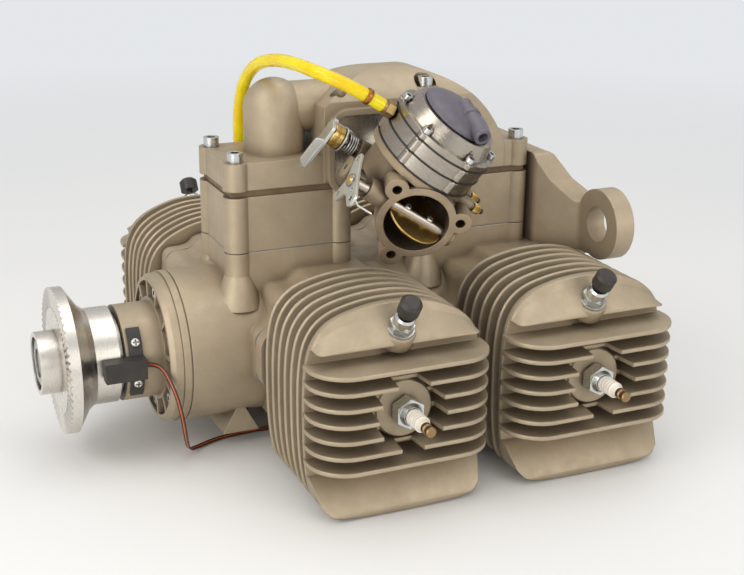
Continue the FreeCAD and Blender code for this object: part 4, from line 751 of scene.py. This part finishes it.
def make_plugs(finishes):
    """Ribbed ceramics of the spark plugs, with their terminal nuts."""
    rib_radius, groove_radius, rib_pitch = 4.8, 3.9, 2.4
    ribs = []
    for k in range(5):
        start = GLAZE_START + 0.6 + k * rib_pitch
        ribs += [(groove_radius, start), (rib_radius, start + 0.5), (rib_radius, start + 1.4),
                 (groove_radius, start + 1.9)]
    ceramic = [(2.6, 128), (2.6, GLAZE_START), (4.6, GLAZE_START), *ribs, (3.6, TERMINAL_START - 1.5),
               (3.3, TERMINAL_START)]
    nut = [(2.2, TERMINAL_START - 1), (2.2, TERMINAL_START), (3.2, TERMINAL_START + 0.3),
           (3.2, TERMINAL_START + 2.4), (2.5, TERMINAL_START + 3.2), (2.5, TERMINAL_START + 4.8),
           (3.2, TERMINAL_START + 5.6), (3.2, PLUG_TIP - 0.8), (2.4, PLUG_TIP)]
    ceramics, nuts = Form(Matrix()), Form(Matrix())
    for turn, place in BORES.values():
        seat = seat_at((0, place, 0), (turn, 0, 0))
        ceramics.seat = nuts.seat = seat
        ceramics.lathe(ceramic, axis="x", steps=32)
        nuts.lathe(nut, axis="x", steps=32)
    ceramics.finish("spark_plug_ceramics", "engine", "plug_ceramic", finishes["plug_ceramic"],
                    "spark_plug_insulators")
    nuts.finish("spark_plug_terminals", "engine", "brass", finishes["terminal"])


def rod_profile(start, end):
    """Profile of a shaft with broken edges."""
    edge = ROD_RADIUS - 0.4
    return [(edge, start), (ROD_RADIUS, start + 0.4), (ROD_RADIUS, end - 0.4), (edge, end)]


def disc_profile(radius):
    """Profile of a butterfly plate with broken edges."""
    half = PLATE_THICK / 2
    return [(radius - 0.3, -half), (radius, -half + 0.3), (radius, half - 0.3), (radius - 0.3, half)]


def make_choke(finishes):
    """Choke shaft, its brass plate with two screws, and the three-lobed lever with its link."""
    shaft = Form(CARB_SEAT)
    shaft.lathe(rod_profile(CHOKE_LEVER_Y - 1.4, ROD_END), (CHOKE_X, 0, 0), "y")
    shaft.finish("choke_shaft", "choke", "steel", finishes["carb_metal"], "choke_valve")
    lever = Form(CARB_SEAT @ Matrix.Translation((CHOKE_X, 0, 0)))
    plate = Form(lever.seat @ Matrix.Rotation(math.radians(CHOKE_OPEN), 4, "Y"))
    plate.lathe(disc_profile(CARB_BORE - PLATE_GAP), steps=64)
    plate.finish("choke_plate", "choke", "brass", finishes["brass"])
    screws = Form(plate.seat)
    for y in (-8, 8):
        pan_head(screws, (0, y, ROD_RADIUS - 0.3), 2.1, 1.3)
    screws.finish("choke_plate_screws", "choke", "plated_steel", finishes["zinc"])
    base = CHOKE_LEVER_Y
    outline = rounded([(-17, 6), (-13, 13), (-7, 9.5), (3, 6), (20, 1.5), (20, -7), (5, -6.5), (0, -17),
                       (-7, -17.5), (-6, -4)], 2.6)
    holes = [circle(1.5, spot) for spot in ((-12.4, 8.4), LINK_EYE, (-3.4, -13), (8.5, -1.4))]
    lever.sheet([outline, *holes], base, base + LEVER_THICK, "xz")
    lever.finish("choke_lever", "choke", "plated_steel", finishes["zinc"])
    rivet = Form(lever.seat)
    rivet.lathe([(3.2, base - 0.2), (3.2, base - 1.1), (2.2, base - 1.9)], axis="y")
    rivet.finish("choke_rivet", "choke", "brass", finishes["brass"])
    link = Form(lever.seat)
    eye_x, eye_z = LINK_EYE
    link.wire([(eye_x, base - 1.6, eye_z), (eye_x, base + 4, eye_z), (15.9, base + 6, -4.2),
               (16, base + 16, -4.6)], 0.7)
    link.finish("choke_link", "choke", "plated_steel", finishes["zinc"])


def make_throttle(finishes):
    """Throttle shaft and plate, brass barrel, zinc arm and stop screw, and the return spring."""
    shaft = Form(CARB_SEAT)
    shaft.lathe(rod_profile(THROTTLE_LEVER_Y, ROD_END), (THROTTLE_X, 0, 0), "y")
    shaft.lathe(disc_profile(CARB_BORE - PLATE_GAP), (THROTTLE_X, 0, 0), "x", 64)
    shaft.finish("throttle_shaft", "throttle", "steel", finishes["carb_metal"], "throttle_valve")
    start = THROTTLE_LEVER_Y - 2
    barrel = Form(CARB_SEAT)
    sleeve = [(6.2, start), (7, start + 0.8), (7, start + 3), (6.3, start + 3.4), (6.3, start + 4.2),
              (7, start + 4.6), (7, start + 7), (5.6, start + 7.4), (5.6, start + 9)]
    barrel.lathe(sleeve, (THROTTLE_X, 0, 0), "y")
    barrel.finish("throttle_barrel", "throttle", "brass", finishes["brass"])
    outline = rounded([(-5.5, 6.5), (5.5, 6.5), (7, -4), (6.5, -22), (3, -28.5), (-2.5, -28.5), (-3.5, -14),
                       (-6, -4)], 2.4)
    fold = rounded([(start - 7, -22), (start - 7, -5), (start - 1, -3), (start - 1, -26)], 1.5)
    arm = Form(CARB_SEAT @ Matrix.Translation((THROTTLE_X, 0, 0)))
    arm.sheet([outline, circle(2, (0.5, -23))], start - 2.2, start - 0.2, "xz")
    arm.sheet([fold], 5, 6.6, "yz")
    arm.finish("throttle_arm", "throttle", "plated_steel", finishes["zinc"])
    screw = Form(arm.seat)
    screw.lathe([(2, start), (3.1, start + 0.3), (3.1, start + 2.6), (2.4, start + 3), (1.5, start + 3.2),
                 (1.5, start + 13), (0.3, start + 17)], (-7.8, 0, 3.2), "y", 24)
    screw.lathe([(8, start + 7.6), (8, start + 8.6), (5, start + 8.6)], axis="y")
    screw.finish("throttle_stop_screw", "throttle", "plated_steel", finishes["zinc"])
    spring = Form(CARB_SEAT)
    spring.coil((THROTTLE_X, THROTTLE_LEVER_Y + 8.9, 0), ROD_RADIUS + 1.3, 0.6, 1.6, 4.4, "y")
    spring.finish("throttle_spring_wire", "engine", "steel", finishes["steel"], "throttle_spring")


def make_cable_stop(finishes):
    """Oval eye plate on a post of the carburettor's body."""
    post = Form(CARB_SEAT)
    x, z = CABLE_STOP
    post.lathe([(4.4, -21), (3.6, -26), (3.6, -40)], (x, 0, z), "y", 24)
    oval = rounded([(-43, -1.5), (-34.5, -2), (-33, -15), (-41.5, -15.5)], 4.5, 6)
    post.sheet([oval, circle(2, CABLE_STOP)], -41.4, -39.4, "xz")
    post.finish("cable_stop", "engine", "cast_aluminium", finishes["cast_aluminium"])


def make_needles(finishes):
    """Mixture needles: knurled brass heads on sprung shanks, each turning with its own body."""
    for name, x in NEEDLE_X.items():
        needle = Form(CARB_SEAT)
        needle.lathe([(2, 10), (2, 34)], (x, 0, NEEDLE_Z), "y", 24)
        rings = []
        for y, scale in ((34, 0.85), (34.5, 1), (38.6, 1), (39.2, 0.85)):
            ring = []
            for k, (u, v) in enumerate(circle(1, steps=KNURL_COUNT)):
                radius = KNURL_RADII[k % 2] * scale
                ring.append(needle.corner((x + radius * u, y, NEEDLE_Z + radius * v)))
            rings.append(ring)
        needle.skin(rings)
        needle.finish(f"needle_{name}_brass", f"needle_{name}", "brass", finishes["brass"],
                      f"mixture_needle_{name}")
        tip = Form(CARB_SEAT)
        tip.lathe([(1.7, 39), (1.7, 41), (1.2, 41.6)], (x, 0, NEEDLE_Z), "y", 20)
        tip.finish(f"needle_{name}_tip", f"needle_{name}", "black_plastic", finishes["black_plastic"])
        spring = Form(CARB_SEAT)
        spring.coil((x, 32.2, NEEDLE_Z), 2.7, 0.35, 0.9, 1.8, "y")
        spring.finish(f"needle_{name}_spring", f"needle_{name}", "steel", finishes["steel"])


def make_cap(finishes):
    """Domed plastic cap with its vent nozzle."""
    steps = 10
    arc = [math.pi / 2 * k / steps for k in range(steps)]
    dome = [((CAP_RADIUS - 0.4) * math.cos(a), CAP_RIM + (CAP_HEIGHT - CAP_RIM) * math.sin(a)) for a in arc]
    rim = [(CAP_RADIUS - 0.5, 0), (CAP_RADIUS, 0.4), (CAP_RADIUS, CAP_RIM - 0.3)]
    cap = Form(CARB_SEAT @ Matrix.Translation((*STACK_PLACE, STACK_TOP)))
    cap.lathe([*rim, *dome, (1, CAP_HEIGHT)], steps=64)
    turn = Matrix.Rotation(math.radians(NOZZLE_TURN), 4, "Z")
    cap.seat = cap.seat @ Matrix.Translation(NOZZLE_PLACE) @ turn
    cap.lathe([(4.4, -5), (5.2, -4), (5.2, 5), (6.2, 5.4), (6.2, 8), (5.3, 8.4), (4.9, 24), (5.1, 24.4),
               (5.1, 25.4), (4.7, 26), (3.1, 26), (2.9, 12)], axis="x")
    cap.finish("carb_cap_dome", "engine", "grey_plastic", finishes["grey_plastic"], "carb_cap")


def make_stack_ears(finishes):
    """Bosses round the six screws at the edge of the plates, one for each level."""
    ears = Form(CARB_SEAT @ Matrix.Translation((*STACK_PLACE, 0)))
    for k in range(6):
        angle = math.radians(k * 60 + 20)
        spot = (EAR_RING * math.cos(angle), EAR_RING * math.sin(angle), 0)
        for low, high in STACK_LEVELS:
            profile = [(3.5, low + 0.05), (3.9, low + 0.5), (3.9, high - 0.6), (3.5, high - 0.15)]
            ears.lathe(profile, spot, steps=24)
    ears.finish("stack_ears", "engine", "machined_aluminium", finishes["carb_metal"])


def area_light(name, place, size, power, colour):
    """Soft box at a place, turned towards the object."""
    data = bpy.data.lights.new(name, "AREA")
    data.shape = "RECTANGLE"
    data.size, data.size_y = size
    data.energy = power
    data.color = colour
    lamp = bpy.data.objects.new(name, data)
    lamp.location = place
    lamp.rotation_euler = (Vector(LAMP_AIM) - Vector(place)).to_track_quat("-Z", "Y").to_euler()
    bpy.context.scene.collection.objects.link(lamp)


def seen_directly(nodes, links):
    """One for what the camera sees, also in a mirror or through glass, and nought for other light."""
    path = nodes.new("ShaderNodeLightPath")
    seen = path.outputs["Is Camera Ray"]
    for name in ("Is Glossy Ray", "Is Transmission Ray"):
        either = nodes.new("ShaderNodeMath")
        either.operation = "MAXIMUM"
        links.new(seen, either.inputs[0])
        links.new(path.outputs[name], either.inputs[1])
        seen = either.outputs[0]
    return seen


def floor_material():
    """Pale floor that keeps the shadow near the object and fades to a pale backdrop."""
    finish = Shader("floor_finish", (0.80, 0.80, 0.79), 0, 0.6)
    shade = finish.spread(finish.noise(3, 2), 0, 0.4)
    finish.set(Base_Color=finish.mixed(shade, (0.80, 0.80, 0.79), (0.76, 0.765, 0.77)))
    nodes, links = finish.nodes, finish.links
    distance = nodes.new("ShaderNodeVectorMath")
    distance.operation = "DISTANCE"
    distance.inputs[1].default_value = FADE_MIDDLE
    links.new(finish.place, distance.inputs[0])
    far = finish.spread(distance.outputs["Value"], 0, 1, *FADE_RANGE)
    seen = seen_directly(nodes, links)
    share = nodes.new("ShaderNodeMath")
    share.operation = "MULTIPLY"
    links.new(far, share.inputs[0])
    links.new(seen, share.inputs[1])
    glow = nodes.new("ShaderNodeEmission")
    glow.inputs["Color"].default_value = BACKDROP
    mix = nodes.new("ShaderNodeMixShader")
    links.new(share.outputs[0], mix.inputs[0])
    links.new(finish.shader.outputs[0], mix.inputs[1])
    links.new(glow.outputs[0], mix.inputs[2])
    links.new(mix.outputs[0], nodes["Material Output"].inputs["Surface"])
    return finish.material


def make_world():
    """Pale surroundings, brighter overhead than at the horizon, and a flat backdrop for the camera."""
    world = bpy.data.worlds.new("studio")
    world.use_nodes = True
    nodes, links = world.node_tree.nodes, world.node_tree.links
    split = nodes.new("ShaderNodeSeparateXYZ")
    links.new(nodes.new("ShaderNodeTexCoord").outputs["Generated"], split.inputs[0])
    ramp = nodes.new("ShaderNodeMapRange")
    ramp.inputs["From Min"].default_value = 0
    ramp.inputs["From Max"].default_value = OVERHEAD_FROM
    links.new(split.outputs["Z"], ramp.inputs["Value"])
    mix = nodes.new("ShaderNodeMix")
    mix.data_type = "RGBA"
    colours = [item for item in mix.inputs if item.type == "RGBA"]
    colours[0].default_value = HORIZON
    colours[1].default_value = OVERHEAD
    links.new(ramp.outputs["Result"], mix.inputs["Factor"])
    result = [item for item in mix.outputs if item.type == "RGBA"][0]
    links.new(result, nodes["Background"].inputs["Color"])
    nodes["Background"].inputs["Strength"].default_value = WORLD_STRENGTH
    camera_path = nodes.new("ShaderNodeLightPath")
    backdrop = nodes.new("ShaderNodeBackground")
    backdrop.inputs["Color"].default_value = BACKDROP
    choice = nodes.new("ShaderNodeMixShader")
    links.new(camera_path.outputs["Is Camera Ray"], choice.inputs[0])
    links.new(nodes["Background"].outputs[0], choice.inputs[1])
    links.new(backdrop.outputs[0], choice.inputs[2])
    links.new(choice.outputs[0], nodes["World Output"].inputs["Surface"])
    bpy.context.scene.world = world


def make_stage():
    """Pale floor, pale surroundings and soft lamps."""
    builder = bmesh.new()
    bmesh.ops.create_grid(builder, x_segments=1, y_segments=1, size=FLOOR_REACH)
    floor = mesh_object("floor", builder, [floor_material()])
    floor.location.z = FLOOR_Z
    make_world()
    for name, settings in LAMPS.items():
        area_light(name, *settings)
    bpy.context.scene.view_settings.view_transform = "Standard"


make_camera()
make_stage()
finishes = make_finishes()
dress_nodes(finishes)
for make in (make_hose, make_lead, make_hose_band, make_sensor_screws, make_cylinders, make_plugs, make_choke,
             make_throttle, make_cable_stop, make_needles, make_cap, make_stack_ears):
    make(finishes)
